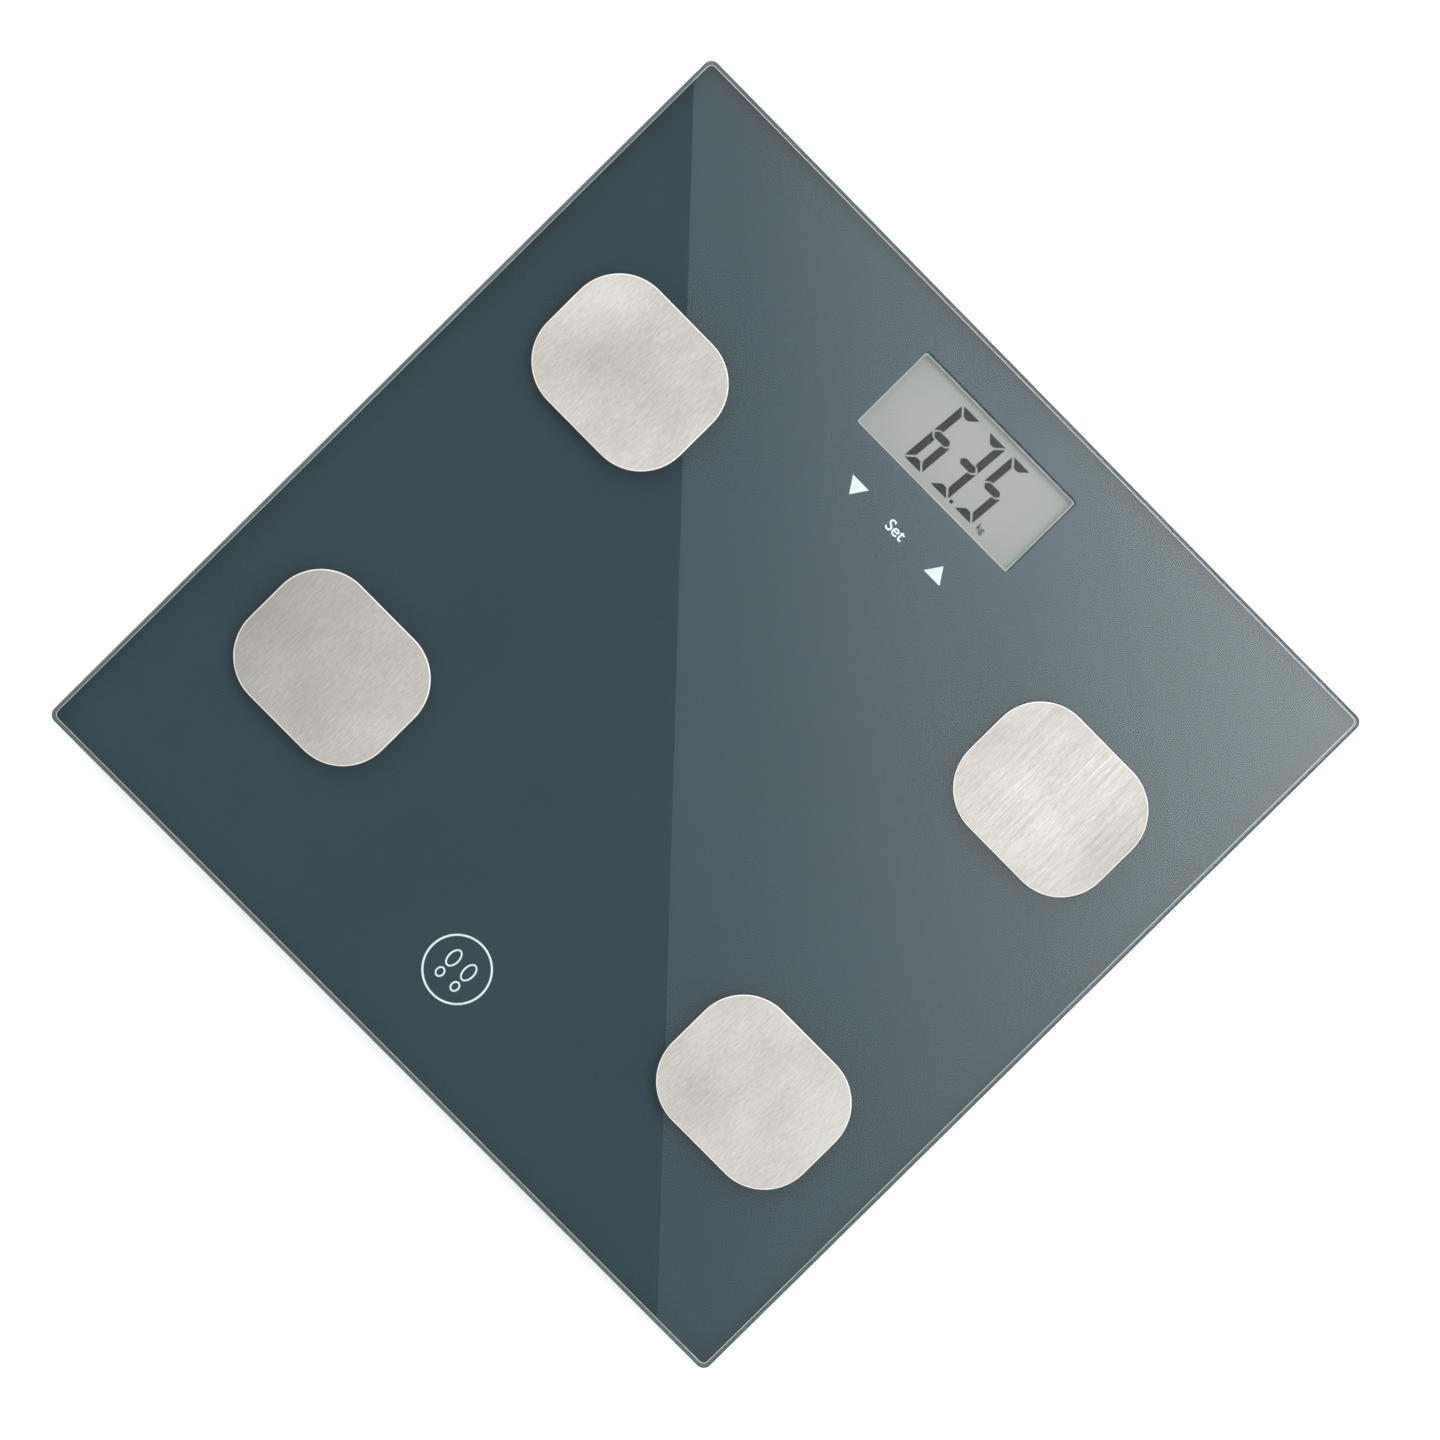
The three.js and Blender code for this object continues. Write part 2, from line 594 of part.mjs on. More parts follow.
function batteryDoor() {
  const [x, y0, y1] = [DOOR_X - FIT_GAP, DOOR_Y0 + FIT_GAP, HINGE_Y - FIT_GAP];
  const z1 = HOUSING_Z0 + DOOR_T;
  const panel = plate(roundedRect(-x, y0, x, y1, DOOR_CORNER_R), HOUSING_Z0, z1);
  const tabZ = COVER_Z1 + FIT_GAP;
  const hookY = [y1 - TAB_T, HINGE_Y + TAB_REACH];
  const tabs = SIDES.flatMap(([, sx]) => [
    centredBox(sx * TAB_X, y1 - TAB_T / 2, TAB_W, TAB_T, z1 - DOOR_SINK, tabZ + TAB_T),
    box(sx * TAB_X - TAB_W / 2, sx * TAB_X + TAB_W / 2, ...hookY, tabZ, tabZ + TAB_T),
  ]);
  const [latchY0, latchY1] = [y0 + FIT_GAP, y0 + LATCH_T - 2 * FIT_GAP];
  const latch = box(-LATCH_W / 2, LATCH_W / 2, latchY0, latchY1, z1 - DOOR_SINK, z1 + LATCH_H);
  return join(panel, latch, ...tabs);
}

function unitButton() {
  const [z0, flangeZ] = [HOUSING_Z0 + BUTTON_SINK, COVER_Z1 + TOUCH_GAP];
  const flangeTop = flangeZ + BUTTON_FLANGE_T;
  const top = SWITCH_Z0 - BUTTON_TRAVEL - PRESS_GAP;
  const profile = [
    [0, z0], [BUTTON_R, z0], [BUTTON_R, flangeZ], [BUTTON_FLANGE_R, flangeZ], [BUTTON_FLANGE_R, flangeTop],
    [BUTTON_POST_R, flangeTop], [BUTTON_POST_R, top], [0, top],
  ];
  return turned(profile, SWITCH_X, SWITCH_Y, SMALL_ROUND);
}

// ---- Electronics -----------------------------------------------------------------------------------

function bezelHalf(opening) {
  return opening / 2 + BEZEL_RIM;
}

function circuitBoard() {
  const board = box(-BOARD_X, BOARD_X, BOARD_Y0, BOARD_Y1, BOARD_Z0, BOARD_Z1);
  const notch = BOSS_R + BOSS_NOTCH_GAP;
  const [y0, y1] = [BOSS_Y1 - notch, BOARD_Y1 + THROUGH];
  const notches = SIDES.map(([, sx]) => (
    box(sx * BOSS_X - notch, sx * BOSS_X + notch, y0, y1, BOARD_Z0 - THROUGH, BOARD_Z1 + THROUGH)));
  return cut(board, ...notches);
}

function displayBezel() {
  const [w, d] = [bezelHalf(WINDOW_W), bezelHalf(WINDOW_D)];
  const outer = roundedRect(-w, WINDOW_Y - d, w, WINDOW_Y + d, WINDOW_R);
  const [iw, id] = [WINDOW_W / 2 - BEZEL_SHOWING, WINDOW_D / 2 - BEZEL_SHOWING];
  const opening = roundedRect(-iw, WINDOW_Y - id, iw, WINDOW_Y + id, WINDOW_R);
  return cut(plate(outer, LCD_Z1, BEZEL_Z1), plate(opening, LCD_Z1 - THROUGH, BEZEL_Z1 + THROUGH));
}

function lcdPanel() {
  return centredBox(0, WINDOW_Y, LCD_W, LCD_D, LCD_Z0, LCD_Z1);
}

function zebraStrip() {
  return centredBox(0, WINDOW_Y - LCD_D / 2 + ZEBRA_D, LCD_W - 2 * ZEBRA_END_GAP, ZEBRA_D, BOARD_Z1, LCD_Z0);
}

function keySpring(x) {
  const wire = KEY_SPRING_WIRE / 2;
  const [z0, z1] = [BOARD_Z1 + wire + TOUCH_GAP, PRINT_Z0 - wire - TOUCH_GAP];
  const coil = new Coil(x, KEY_Y, KEY_SPRING_R - wire, KEY_SPRING_R - wire, z0, z1, KEY_SPRING_TURNS);
  return swept(ngon(wire, WIRE_SIDES), coil, COIL_STEPS * KEY_SPRING_TURNS);
}

function tactSwitch() {
  return centredBox(SWITCH_X, SWITCH_Y, SWITCH_W, SWITCH_W, SWITCH_Z0, BOARD_Z0);
}

function controllerChip() {
  const x = -KEY_PITCH - KEY_SPRING_R - CHIP_W - CHIP_GAP;
  return centredBox(x, KEY_Y, CHIP_W, CHIP_W, BOARD_Z1, BOARD_Z1 + CHIP_T);
}

// ---- Cells and contacts ----------------------------------------------------------------------------

// A cell lies along X; its plus nub points to +X when facing is 1.
function cell(y, facing) {
  const half = CELL_L / 2;
  const [r, shoulder] = [CELL_D / 2, half - CELL_NUB_L];
  const profile = [
    [0, -half], [r, -half], [r, shoulder], [CELL_NUB_R, shoulder], [CELL_NUB_R, half], [0, half],
  ];
  const points = profile.map(([radius, along]) => new THREE.Vector2(radius, along));
  const geometry = new THREE.LatheGeometry(points, ROUND).rotateZ((-facing * Math.PI) / 2);
  return solid(geometry.translate(0, y, CELL_Z));
}

function contactPlate(side, y0, y1) {
  const [inner, outer] = [BAY_X - CONTACT_T - TOUCH_GAP, BAY_X - TOUCH_GAP];
  const [x0, x1] = side > 0 ? [inner, outer] : [-outer, -inner];
  return box(x0, x1, y0, y1, CELL_Z - CONTACT_H / 2, CELL_Z + CONTACT_H / 2);
}

// A conical spring from the plate to the flat end of the cell.
function contactSpring(side, y) {
  const [start, end] = [BAY_X - CONTACT_T, CELL_L / 2 + CONTACT_WIRE / 2 + TOUCH_GAP];
  const coil = new Coil(0, 0, CONTACT_SPRING_BASE_R, CONTACT_SPRING_TIP_R, start, end, CONTACT_SPRING_TURNS);
  const geometry = new THREE.ExtrudeGeometry(ngon(CONTACT_WIRE / 2, WIRE_SIDES), {
    extrudePath: coil,
    steps: COIL_STEPS * CONTACT_SPRING_TURNS,
    bevelEnabled: false,
  });
  return solid(geometry.rotateY((side * Math.PI) / 2).translate(0, y, CELL_Z));
}

// A stamped dimple that reaches from the plate to the nub of the cell.
function contactDimple(side, y) {
  const [near, far] = [CELL_L / 2 + TOUCH_GAP, BAY_X - CONTACT_T];
  const geometry = new THREE.CylinderGeometry(DIMPLE_TIP_R, DIMPLE_BASE_R, far - near, SMALL_ROUND);
  geometry.rotateZ((side * Math.PI) / 2).translate((side * (near + far)) / 2, y, CELL_Z);
  return solid(geometry);
}

function bridgeContact() {
  const strip = contactPlate(-1, CELL_FRONT_Y - CONTACT_W / 2, CELL_REAR_Y + CONTACT_W / 2);
  return join(strip, contactSpring(-1, CELL_REAR_Y), contactDimple(-1, CELL_FRONT_Y));
}

function plusContact() {
  const strip = contactPlate(1, CELL_REAR_Y - CONTACT_W / 2, CELL_REAR_Y + CONTACT_W / 2);
  return join(strip, contactDimple(1, CELL_REAR_Y));
}

function minusContact() {
  const strip = contactPlate(1, CELL_FRONT_Y - CONTACT_W / 2, CELL_FRONT_Y + CONTACT_W / 2);
  return join(strip, contactSpring(1, CELL_FRONT_Y));
}

// ---- Feet, each in its own frame with its lead leaving toward -X ------------------------------------

function footMount() {
  const cup = turned([
    [0, CUP_TOP_Z0], [CUP_BORE_R, CUP_TOP_Z0], [CUP_BORE_R, LIP_Z1], [LIP_R, LIP_Z1],
    [LIP_R, CUP_Z0], [CUP_R, CUP_Z0], [CUP_R, PRINT_Z0], [0, PRINT_Z0],
  ]);
  const half = LOAD_CELL_W / 2;
  const ribs = [-1, 1].map((s) => (
    centredBox(s * (half - RIB_W / 2), 0, RIB_W, LOAD_CELL_W - 2 * LOAD_CELL_R, LOAD_CELL_Z1, CUP_TOP_Z0)));
  const rails = [-1, 1].map((s) => centredBox(
    0, s * (half + FIT_GAP + RAIL_T / 2), TONGUE_W, RAIL_T, LOAD_CELL_Z0, CUP_TOP_Z0));
  const slotZ = LEAD_D / 2 + FIT_GAP;
  const slotW = RIBBON_W + 2 * FIT_GAP;
  const leadSlot = centredBox(-CUP_R, 0, 4 * WALL, slotW, LEAD_Z - slotZ, LEAD_Z + slotZ);
  return cut(join(cup, ...ribs, ...rails), leadSlot);
}

// A steel plate with a U-shaped slot, whose tongue is pressed up by the foot.
function loadCell() {
  const half = LOAD_CELL_W / 2;
  const body = plate(roundedRect(-half, -half, half, half, LOAD_CELL_R), LOAD_CELL_Z0, LOAD_CELL_Z1);
  const [t, s] = [TONGUE_W / 2, LOAD_CELL_SLOT];
  const [root, end] = [-half + TONGUE_ROOT, half - TONGUE_END];
  const window = box(root, end, -t - s, t + s, LOAD_CELL_Z0 - THROUGH, LOAD_CELL_Z1 + THROUGH);
  const tongue = box(root - 1, end - s, -t, t, LOAD_CELL_Z0, LOAD_CELL_Z1);
  return join(cut(body, window), tongue);
}

function footShell() {
  const seatR = PAD_R + FIT_GAP;
  const seatZ = PAD_T;
  const innerR = SHELL_R - SHELL_TRAY_WALL;
  const innerZ = seatZ + SHELL_FLOOR_T;
  const flangeR = SHELL_R + SHELL_FLANGE_W;
  return turned([
    [0, seatZ], [seatR, seatZ], [seatR, SHELL_Z0],
    [SHELL_R - SHELL_CHAMFER, SHELL_Z0], [SHELL_R, SHELL_Z0 + SHELL_CHAMFER],
    [SHELL_R, FLANGE_Z0], [flangeR, FLANGE_Z0], [flangeR, FLANGE_Z1], [innerR, FLANGE_Z1],
    [innerR, innerZ], [SHELL_BOSS_R, innerZ], [SHELL_BOSS_R, BOSS_TOP_Z], [0, BOSS_TOP_Z],
  ]);
}

function rubberPad() {
  return turned([[0, 0], [PAD_R - PAD_ROUND, 0], [PAD_R, PAD_ROUND], [PAD_R, PAD_T], [0, PAD_T]]);
}

function foot({ name, sx, sy }) {
  const group = new THREE.Group();
  group.position.set(sx * FOOT_X, sy * FOOT_Y, 0);
  group.rotation.z = sx > 0 ? 0 : Math.PI;
  group.add(
    piece(`foot_mount_${name}`, footMount(), HOUSING_PLASTIC),
    piece(`load_cell_${name}`, loadCell(), PLATED),
    piece(`foot_shell_${name}`, footShell(), HOUSING_PLASTIC),
    piece(`rubber_pad_${name}`, rubberPad(), RUBBER),
  );
  return group;
}

// ---- Leads and clips -------------------------------------------------------------------------------

function at(x, y, z = LEAD_Z) {
  return new THREE.Vector3(x, y, z);
}

function ribbonSection() {
  const [t, w] = [RIBBON_T / 2, RIBBON_W / 2];
  const shape = new THREE.Shape();
  shape.moveTo(-t, -w);
  shape.lineTo(t, -w);
  shape.lineTo(t, w);
  shape.lineTo(-t, w);
  return shape;
}

// A flat three-core lead from the load cell to a soldered end on the board.
function loadCellLead({ sx, sy }) {
  const start = at(sx * (FOOT_X - LOAD_CELL_W / 2 - FIT_GAP), sy * FOOT_Y);
  const endZ = BOARD_Z1 + RIBBON_T / 2 + SOLDER_H;
  if (sy > 0) {
    const turn = at(sx * (HOUSING_X - WALL - RIBBON_TURN), FOOT_Y);
    const path = bentPath([start, turn, at(sx * (BOARD_X - SOLDER_INSET), FOOT_Y, endZ)], LEAD_BEND_R);
    return swept(ribbonSection(), path, SHORT_LEAD_STEPS);
  }
  const [corner, dip] = [at(sx * RIBBON_X, -FOOT_Y), at(sx * RIBBON_X, BOARD_Y0 - LEAD_DIP)];
  const end = at(sx * RIBBON_X, BOARD_Y0 + SOLDER_INSET, endZ);
  return swept(ribbonSection(), bentPath([start, corner, dip, end], LEAD_BEND_R), LONG_LEAD_STEPS);
}

// A single-core lead from the stud of an electrode to a soldered end on the board.
function electrodeLead({ sx, sy }) {
  const y = electrodeY(sy);
  const x = sx * (sy > 0 ? REAR_LEAD_X : LEAD_X);
  const start = at(sx * (ELECTRODE_X + STUD_R), y);
  const end = at(x, BOARD_Y0 + SOLDER_INSET, BOARD_Z1 + LEAD_D / 2 + SOLDER_H);
  const path = bentPath([start, at(x, y), at(x, BOARD_Y0 - LEAD_DIP), end], LEAD_BEND_R);
  return swept(ngon(LEAD_D / 2, LEAD_SIDES), path, sy > 0 ? SHORT_LEAD_STEPS : LONG_LEAD_STEPS);
}

// A moulded clip stuck to the print, with a channel for each of the two long leads.
function cableClip(sx) {
  const top = PRINT_Z0;
  const bottom = LEAD_Z - LEAD_D / 2 - FIT_GAP - CLIP_WALL;
  const x0 = RIBBON_X - RIBBON_W / 2 - FIT_GAP - CLIP_WALL;
  const x1 = LEAD_X + LEAD_D / 2 + FIT_GAP + CLIP_WALL;
  const body = centredBox((sx * (x0 + x1)) / 2, CLIP_Y, x1 - x0, CLIP_L, bottom, top);
  const [z0, z1] = [bottom + CLIP_WALL, LEAD_Z + LEAD_D / 2 + FIT_GAP];
  const channels = [[RIBBON_X, RIBBON_W], [LEAD_X, LEAD_D]].map(([x, w]) => (
    centredBox(sx * x, CLIP_Y, w + 2 * FIT_GAP, 2 * CLIP_L, z0, z1)));
  return cut(body, ...channels);
}

// ---- The whole scale ---------------------------------------------------------------------------------

const scale = new THREE.Group();

scale.add(piece('glass_platform', glassPlatform(), GLASS));
scale.add(piece('back_print', backPrint(), ENAMEL));
for (const quarter of QUARTERS) {
  scale.add(piece(`electrode_${quarter.name}`, electrode(quarter), STEEL));
  scale.add(piece(`electrode_stud_${quarter.name}`, electrodeStud(quarter), PLATED));
  scale.add(foot(quarter));
  scale.add(piece(`load_cell_lead_${quarter.name}`, loadCellLead(quarter), LEAD_SHEATH));
  scale.add(piece(`electrode_lead_${quarter.name}`, electrodeLead(quarter), LEAD_SHEATH));
}

scale.add(piece('housing_gasket', housingGasket(), FOAM));
scale.add(piece('housing_frame', housingFrame(), HOUSING_PLASTIC));
scale.add(piece('housing_cover', housingCover(), HOUSING_PLASTIC));
scale.add(piece('battery_door', batteryDoor(), HOUSING_PLASTIC));
scale.add(piece('unit_button', unitButton(), RUBBER));
for (const [end, y] of [['rear', BOSS_Y1], ['front', BOSS_Y0]]) {
  for (const [side, sx] of SIDES) {
    scale.add(piece(`cover_screw_${end}_${side}`, coverScrew(sx * BOSS_X, y), PLATED));
  }
}

scale.add(piece('circuit_board', circuitBoard(), LAMINATE));
scale.add(piece('zebra_strip', zebraStrip(), FOAM));
scale.add(piece('lcd_panel', lcdPanel(), LCD_GLASS));
scale.add(piece('display_bezel', displayBezel(), BEZEL_PLASTIC));
for (const [key, i] of [['down', -1], ['set', 0], ['up', 1]]) {
  scale.add(piece(`touch_spring_${key}`, keySpring(i * KEY_PITCH), PLATED));
}
scale.add(piece('tact_switch', tactSwitch(), CHIP_RESIN));
scale.add(piece('controller_chip', controllerChip(), CHIP_RESIN));

scale.add(piece('battery_cell_rear', cell(CELL_REAR_Y, 1), CELL_SLEEVE));
scale.add(piece('battery_cell_front', cell(CELL_FRONT_Y, -1), CELL_SLEEVE));
scale.add(piece('battery_contact_bridge', bridgeContact(), PLATED));
scale.add(piece('battery_contact_plus', plusContact(), PLATED));
scale.add(piece('battery_contact_minus', minusContact(), PLATED));
for (const [side, sx] of SIDES) {
  scale.add(piece(`cable_clip_${side}`, cableClip(sx), HOUSING_PLASTIC));
}

export default scale;
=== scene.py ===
import math

import bmesh
import bpy
from mathutils import Matrix, Vector


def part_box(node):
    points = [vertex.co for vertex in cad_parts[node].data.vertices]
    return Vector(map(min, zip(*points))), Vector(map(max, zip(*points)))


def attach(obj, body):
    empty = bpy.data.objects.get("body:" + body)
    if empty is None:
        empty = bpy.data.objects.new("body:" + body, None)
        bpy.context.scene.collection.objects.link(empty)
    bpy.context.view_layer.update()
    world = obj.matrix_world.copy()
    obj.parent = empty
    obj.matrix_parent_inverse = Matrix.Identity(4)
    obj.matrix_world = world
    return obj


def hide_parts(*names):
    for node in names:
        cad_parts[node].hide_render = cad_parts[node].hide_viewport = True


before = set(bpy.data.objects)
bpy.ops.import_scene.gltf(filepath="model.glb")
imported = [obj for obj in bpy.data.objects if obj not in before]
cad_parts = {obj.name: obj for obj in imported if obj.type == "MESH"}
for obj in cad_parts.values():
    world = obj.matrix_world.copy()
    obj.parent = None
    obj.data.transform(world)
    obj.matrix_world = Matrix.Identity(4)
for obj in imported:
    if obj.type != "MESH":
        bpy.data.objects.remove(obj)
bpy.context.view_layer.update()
scene = bpy.context.scene
scene.view_settings.view_transform = "Standard"

# The camera. It hangs a good metre above the scale, almost straight over it, and is turned an
# eighth of a turn, so that the square pane stands on one corner.
CAMERA_AT = (-0.03488, 0.01472, 1.11755)  # metres
CAMERA_TURNS = (-0.63896, -1.98889, 45.32331)  # degrees about X, Y and Z
camera_data = bpy.data.cameras.new("camera")
camera_data.lens = 85
camera_data.sensor_width = 36
camera = bpy.data.objects.new("camera", camera_data)
x_turn, y_turn, z_turn = (
    Matrix.Rotation(math.radians(turn), 4, axis) for turn, axis in zip(CAMERA_TURNS, "XYZ")
)
camera.matrix_world = Matrix.Translation(CAMERA_AT) @ x_turn @ y_turn @ z_turn
scene.collection.objects.link(camera)
scene.camera = camera

# The floor, the sky and the studio lamps. The floor is a plain white sheet. A pale card hangs over
# one half of the scale with a straight edge, which is what the dark pane mirrors. Soft boxes stand
# round about, outside what the pane mirrors, and the one at the far corner is the strongest.
MM = 0.001  # lengths in the helpers' arguments are millimetres


def add(tree, kind, inputs=None, **settings):
    """A new node with its settings. An input that is given as a socket is linked."""
    n = tree.nodes.new(kind)
    for key, value in settings.items():
        setattr(n, key, value)
    for key, value in (inputs or {}).items():
        if isinstance(value, bpy.types.NodeSocket):
            tree.links.new(value, n.inputs[key])
        else:
            n.inputs[key].default_value = value
    return n


def shader(name):
    """A new material, its node tree and its surface shader."""
    m = bpy.data.materials.new(name)
    m.use_nodes = True
    return m, m.node_tree, m.node_tree.nodes["Principled BSDF"]


def one_sided(tree, surface):
    """Lets everything through from behind, so that the scale can be looked at from below."""
    back = add(tree, "ShaderNodeNewGeometry").outputs["Backfacing"]
    clear = add(tree, "ShaderNodeBsdfTransparent").outputs[0]
    mix = add(tree, "ShaderNodeMixShader", {0: back, 1: surface, 2: clear})
    tree.links.new(mix.outputs[0], tree.nodes["Material Output"].inputs["Surface"])


SHARP = math.radians(35)  # the least angle that shows as an edge
UPRIGHT = 0.99999  # a flat side's normal runs along an axis to within this


def make(name, bm, *materials):
    """The mesh as an object with these materials, its faces turned outward and rounded ones smooth.
    A flat side keeps its own normal, so that a rounded edge doesn't bend what it mirrors."""
    bmesh.ops.recalc_face_normals(bm, faces=bm.faces)
    mesh = bpy.data.meshes.new(name)
    bm.to_mesh(mesh)
    bm.free()
    for m in materials:
        mesh.materials.append(m)
    mesh.set_sharp_from_angle(angle=SHARP)
    for p in mesh.polygons:
        p.use_smooth = max(abs(c) for c in p.normal) < UPRIGHT
    ob = bpy.data.objects.new(name, mesh)
    scene.collection.objects.link(ob)
    return ob


FLOOR_HALF, FLOOR_DROP = 4, 0.0001  # metres
floor_material, t, s = shader("white floor")
s.inputs["Base Color"].default_value = (0.93, 0.93, 0.93, 1)
s.inputs["Roughness"].default_value = 0.9
s.inputs["Specular IOR Level"].default_value = 0.1
s.inputs["Emission Color"].default_value = (1, 1, 1, 1)
s.inputs["Emission Strength"].default_value = 0.35
one_sided(t, s.outputs[0])
bm = bmesh.new()
bmesh.ops.create_grid(bm, x_segments=1, y_segments=1, size=FLOOR_HALF)
bmesh.ops.translate(bm, vec=(0, 0, -FLOOR_DROP), verts=bm.verts)
floor = make("floor", bm, floor_material)

SKY = 0.6
sky = bpy.data.worlds.new("soft sky")
sky.use_nodes = True
sky.node_tree.nodes["Background"].inputs["Color"].default_value = (0.98, 1, 1, 1)
sky.node_tree.nodes["Background"].inputs["Strength"].default_value = SKY
scene.world = sky

# The card is laid out by the pane's points that mirror it: u runs away from the card's edge and v
# along it, both in metres from the pane's middle.
CARD_Z = 1.9  # its height over the floor
MIRROR_Z = 0.023  # the pane's top face, nearly
CARD_REACH = (CARD_Z - MIRROR_Z) / (CAMERA_AT[2] - MIRROR_Z)  # how far a mirrored ray runs on sideways
EYE = Vector((-0.01426, -0.03507))  # the camera's place in u and v
CARD_HALF, CARD_SIDE = 0.32, 0.36  # its ends in v and its far side in u
EDGE_AT, EDGE_SLANT = -0.0105, -0.024  # its straight edge, and how that drifts with v
COLUMNS, ROWS = 24, 16
EDGE_GLOW, RISE = 0.85, 17  # its light over the sky's at the edge, and how it grows with u
BEND, STEEP_RISE = 0.1, 31  # where it starts to grow faster
FADE_FROM, FADE = 0.22, 20  # where it starts to fall again
FALL, LEAST = 1.6, 0.3  # how it falls with v, and the least share that stays


def card_light(u, v):
    """How bright the card is where the pane's point (u, v) mirrors it."""
    more = EDGE_GLOW + RISE * min(max(u, 0), BEND) + STEEP_RISE * max(0, u - BEND)
    more *= max(LEAST, 1 - FALL * v)
    return SKY + max(0.0, more - FADE * max(0, u - FADE_FROM))


card_material, t, s = shader("card")
glow = add(t, "ShaderNodeAttribute", attribute_name="glow").outputs["Fac"]
light = add(t, "ShaderNodeEmission", {"Color": (0.93, 0.985, 1, 1), "Strength": glow})
one_sided(t, light.outputs[0])
bm = bmesh.new()
layer = bm.verts.layers.float.new("glow")
corners = []
for j in range(ROWS + 1):
    v = -CARD_HALF + 2 * CARD_HALF * j / ROWS
    left = EDGE_AT + EDGE_SLANT * v
    for i in range(COLUMNS + 1):
        u = left + (CARD_SIDE - left) * i / COLUMNS
        p = Vector((u, v)) + CARD_REACH * (Vector((u, v)) - EYE)
        corner = bm.verts.new(((p.x + p.y) / math.sqrt(2), (p.x - p.y) / math.sqrt(2), CARD_Z))
        corner[layer] = card_light(u, v)
        corners.append(corner)
for j in range(ROWS):
    for i in range(COLUMNS):
        a = j * (COLUMNS + 1) + i
        bm.faces.new([corners[k] for k in (a, a + 1, a + COLUMNS + 2, a + COLUMNS + 1)])
card = make("card", bm, card_material)
if card.data.polygons[0].normal.z > 0:
    card.data.flip_normals()

for name, place, size, watts in (  # places and sizes in metres
    ("far box", (-1.25, 1.25, 1.5), 1.3, 12),
    ("right box", (1.5, 1.1, 1.3), 1.2, 4),
    ("left box", (-1.5, -1.1, 1.3), 1.2, 4),
    ("near box", (1.1, -1.5, 1.4), 1.2, 4),
):
    lamp = bpy.data.lights.new(name, "AREA")
    lamp.shape = "SQUARE"
    lamp.size = size
    lamp.energy = watts
    lamp.color = (1, 0.99, 0.97)
    soft_box = bpy.data.objects.new(name, lamp)
    soft_box.location = place
    soft_box.rotation_euler = (-Vector(place)).to_track_quat("-Z", "Y").to_euler()
    scene.collection.objects.link(soft_box)

# The pane. A stock sheet of 6 mm tempered float glass, cut square with small corners, its edges
# ground round and polished, and drilled for the four studs. Its back is fired with dark enamel,
# which leaves a clear window over the display, and the white marks are printed under that enamel.
QUARTERS = ("rear_left", "rear_right", "front_left", "front_right")


def box(node):
    """A CAD node's lowest and highest corner, in millimetres."""
    low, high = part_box(node)
    return low / MM, high / MM


def middle(node):
    low, high = box(node)
    return (low.x + high.x) / 2, (low.y + high.y) / 2


def paint(material, *nodes):
    """Gives CAD nodes that show this material."""
    for node in nodes:
        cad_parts[node].material_slots[0].material = material


def outline(w, d, r, at=(0, 0), steps=8):
    """A rounded rectangle's points, anticlockwise."""
    points = []
    for k, (sx, sy) in enumerate(((1, 1), (-1, 1), (-1, -1), (1, -1))):
        for i in range(steps + 1):
            a = math.pi / 2 * (k + i / steps)
            x = at[0] + sx * (w / 2 - r) + r * math.cos(a)
            y = at[1] + sy * (d / 2 - r) + r * math.sin(a)
            points.append((x, y))
    return points


def circle(r, at=(0, 0), steps=48):
    angles = [2 * math.pi * i / steps for i in range(steps)]
    return [(at[0] + r * math.cos(a), at[1] + r * math.sin(a)) for a in angles]


def ring(bm, points, z):
    return [bm.verts.new((x * MM, y * MM, z * MM)) for x, y in points]


def walls(bm, low, high, material=0):
    """A band of faces between two rings with as many points."""
    for i in range(len(low)):
        j = (i + 1) % len(low)
        bm.faces.new((low[i], low[j], high[j], high[i])).material_index = material


def fill(bm, *rings, material=0):
    """Flat faces between an outer ring and the holes in it."""
    edges = []
    for r in rings:
        for a, b in zip(r, r[1:] + r[:1]):
            edges.append(bm.edges.get((a, b)) or bm.edges.new((a, b)))
    new = bmesh.ops.triangle_fill(bm, use_beauty=True, use_dissolve=False, edges=edges)["geom"]
    for f in new:
        if isinstance(f, bmesh.types.BMFace):
            f.material_index = material


def slab(bm, levels, material=0):
    """A closed solid through rings at rising or falling heights. A level is (points, z)."""
    rings = [ring(bm, points, z) for points, z in levels]
    for low, high in zip(rings, rings[1:]):
        walls(bm, low, high, material)
    fill(bm, rings[0], material=material)
    fill(bm, rings[-1], material=material)


def ramp(tree, value, *stops):
    """A value between 0 and 1 as a colour. A stop is (position, colour)."""
    n = add(tree, "ShaderNodeValToRGB", {0: value})
    e = n.color_ramp.elements
    e[0].position, e[1].position = stops[0][0], stops[-1][0]
    e[0].color, e[1].color = (*stops[0][1], 1), (*stops[-1][1], 1)
    for position, colour in stops[1:-1]:
        e.new(position).color = (*colour, 1)
    return n.outputs[0]


def grain(tree, size, stretch=(1, 1, 1), detail=3, rough=0.5):
    """Noise of that size in millimetres on the piece's own coordinates, drawn out by stretch."""
    at = add(tree, "ShaderNodeTexCoord").outputs["Object"]
    scale = [1 / (size * MM * k) for k in stretch]
    at = add(tree, "ShaderNodeMapping", {"Vector": at, "Scale": scale}).outputs[0]
    inputs = {"Vector": at, "Scale": 1.0, "Detail": detail, "Roughness": rough}
    return add(tree, "ShaderNodeTexNoise", inputs).outputs[0]


def span(tree, value, low, high, start=0.3, end=0.7):
    """A noise value spread from low to high."""
    inputs = {"Value": value, "From Min": start, "From Max": end, "To Min": low, "To Max": high}
    return add(tree, "ShaderNodeMapRange", inputs).outputs[0]


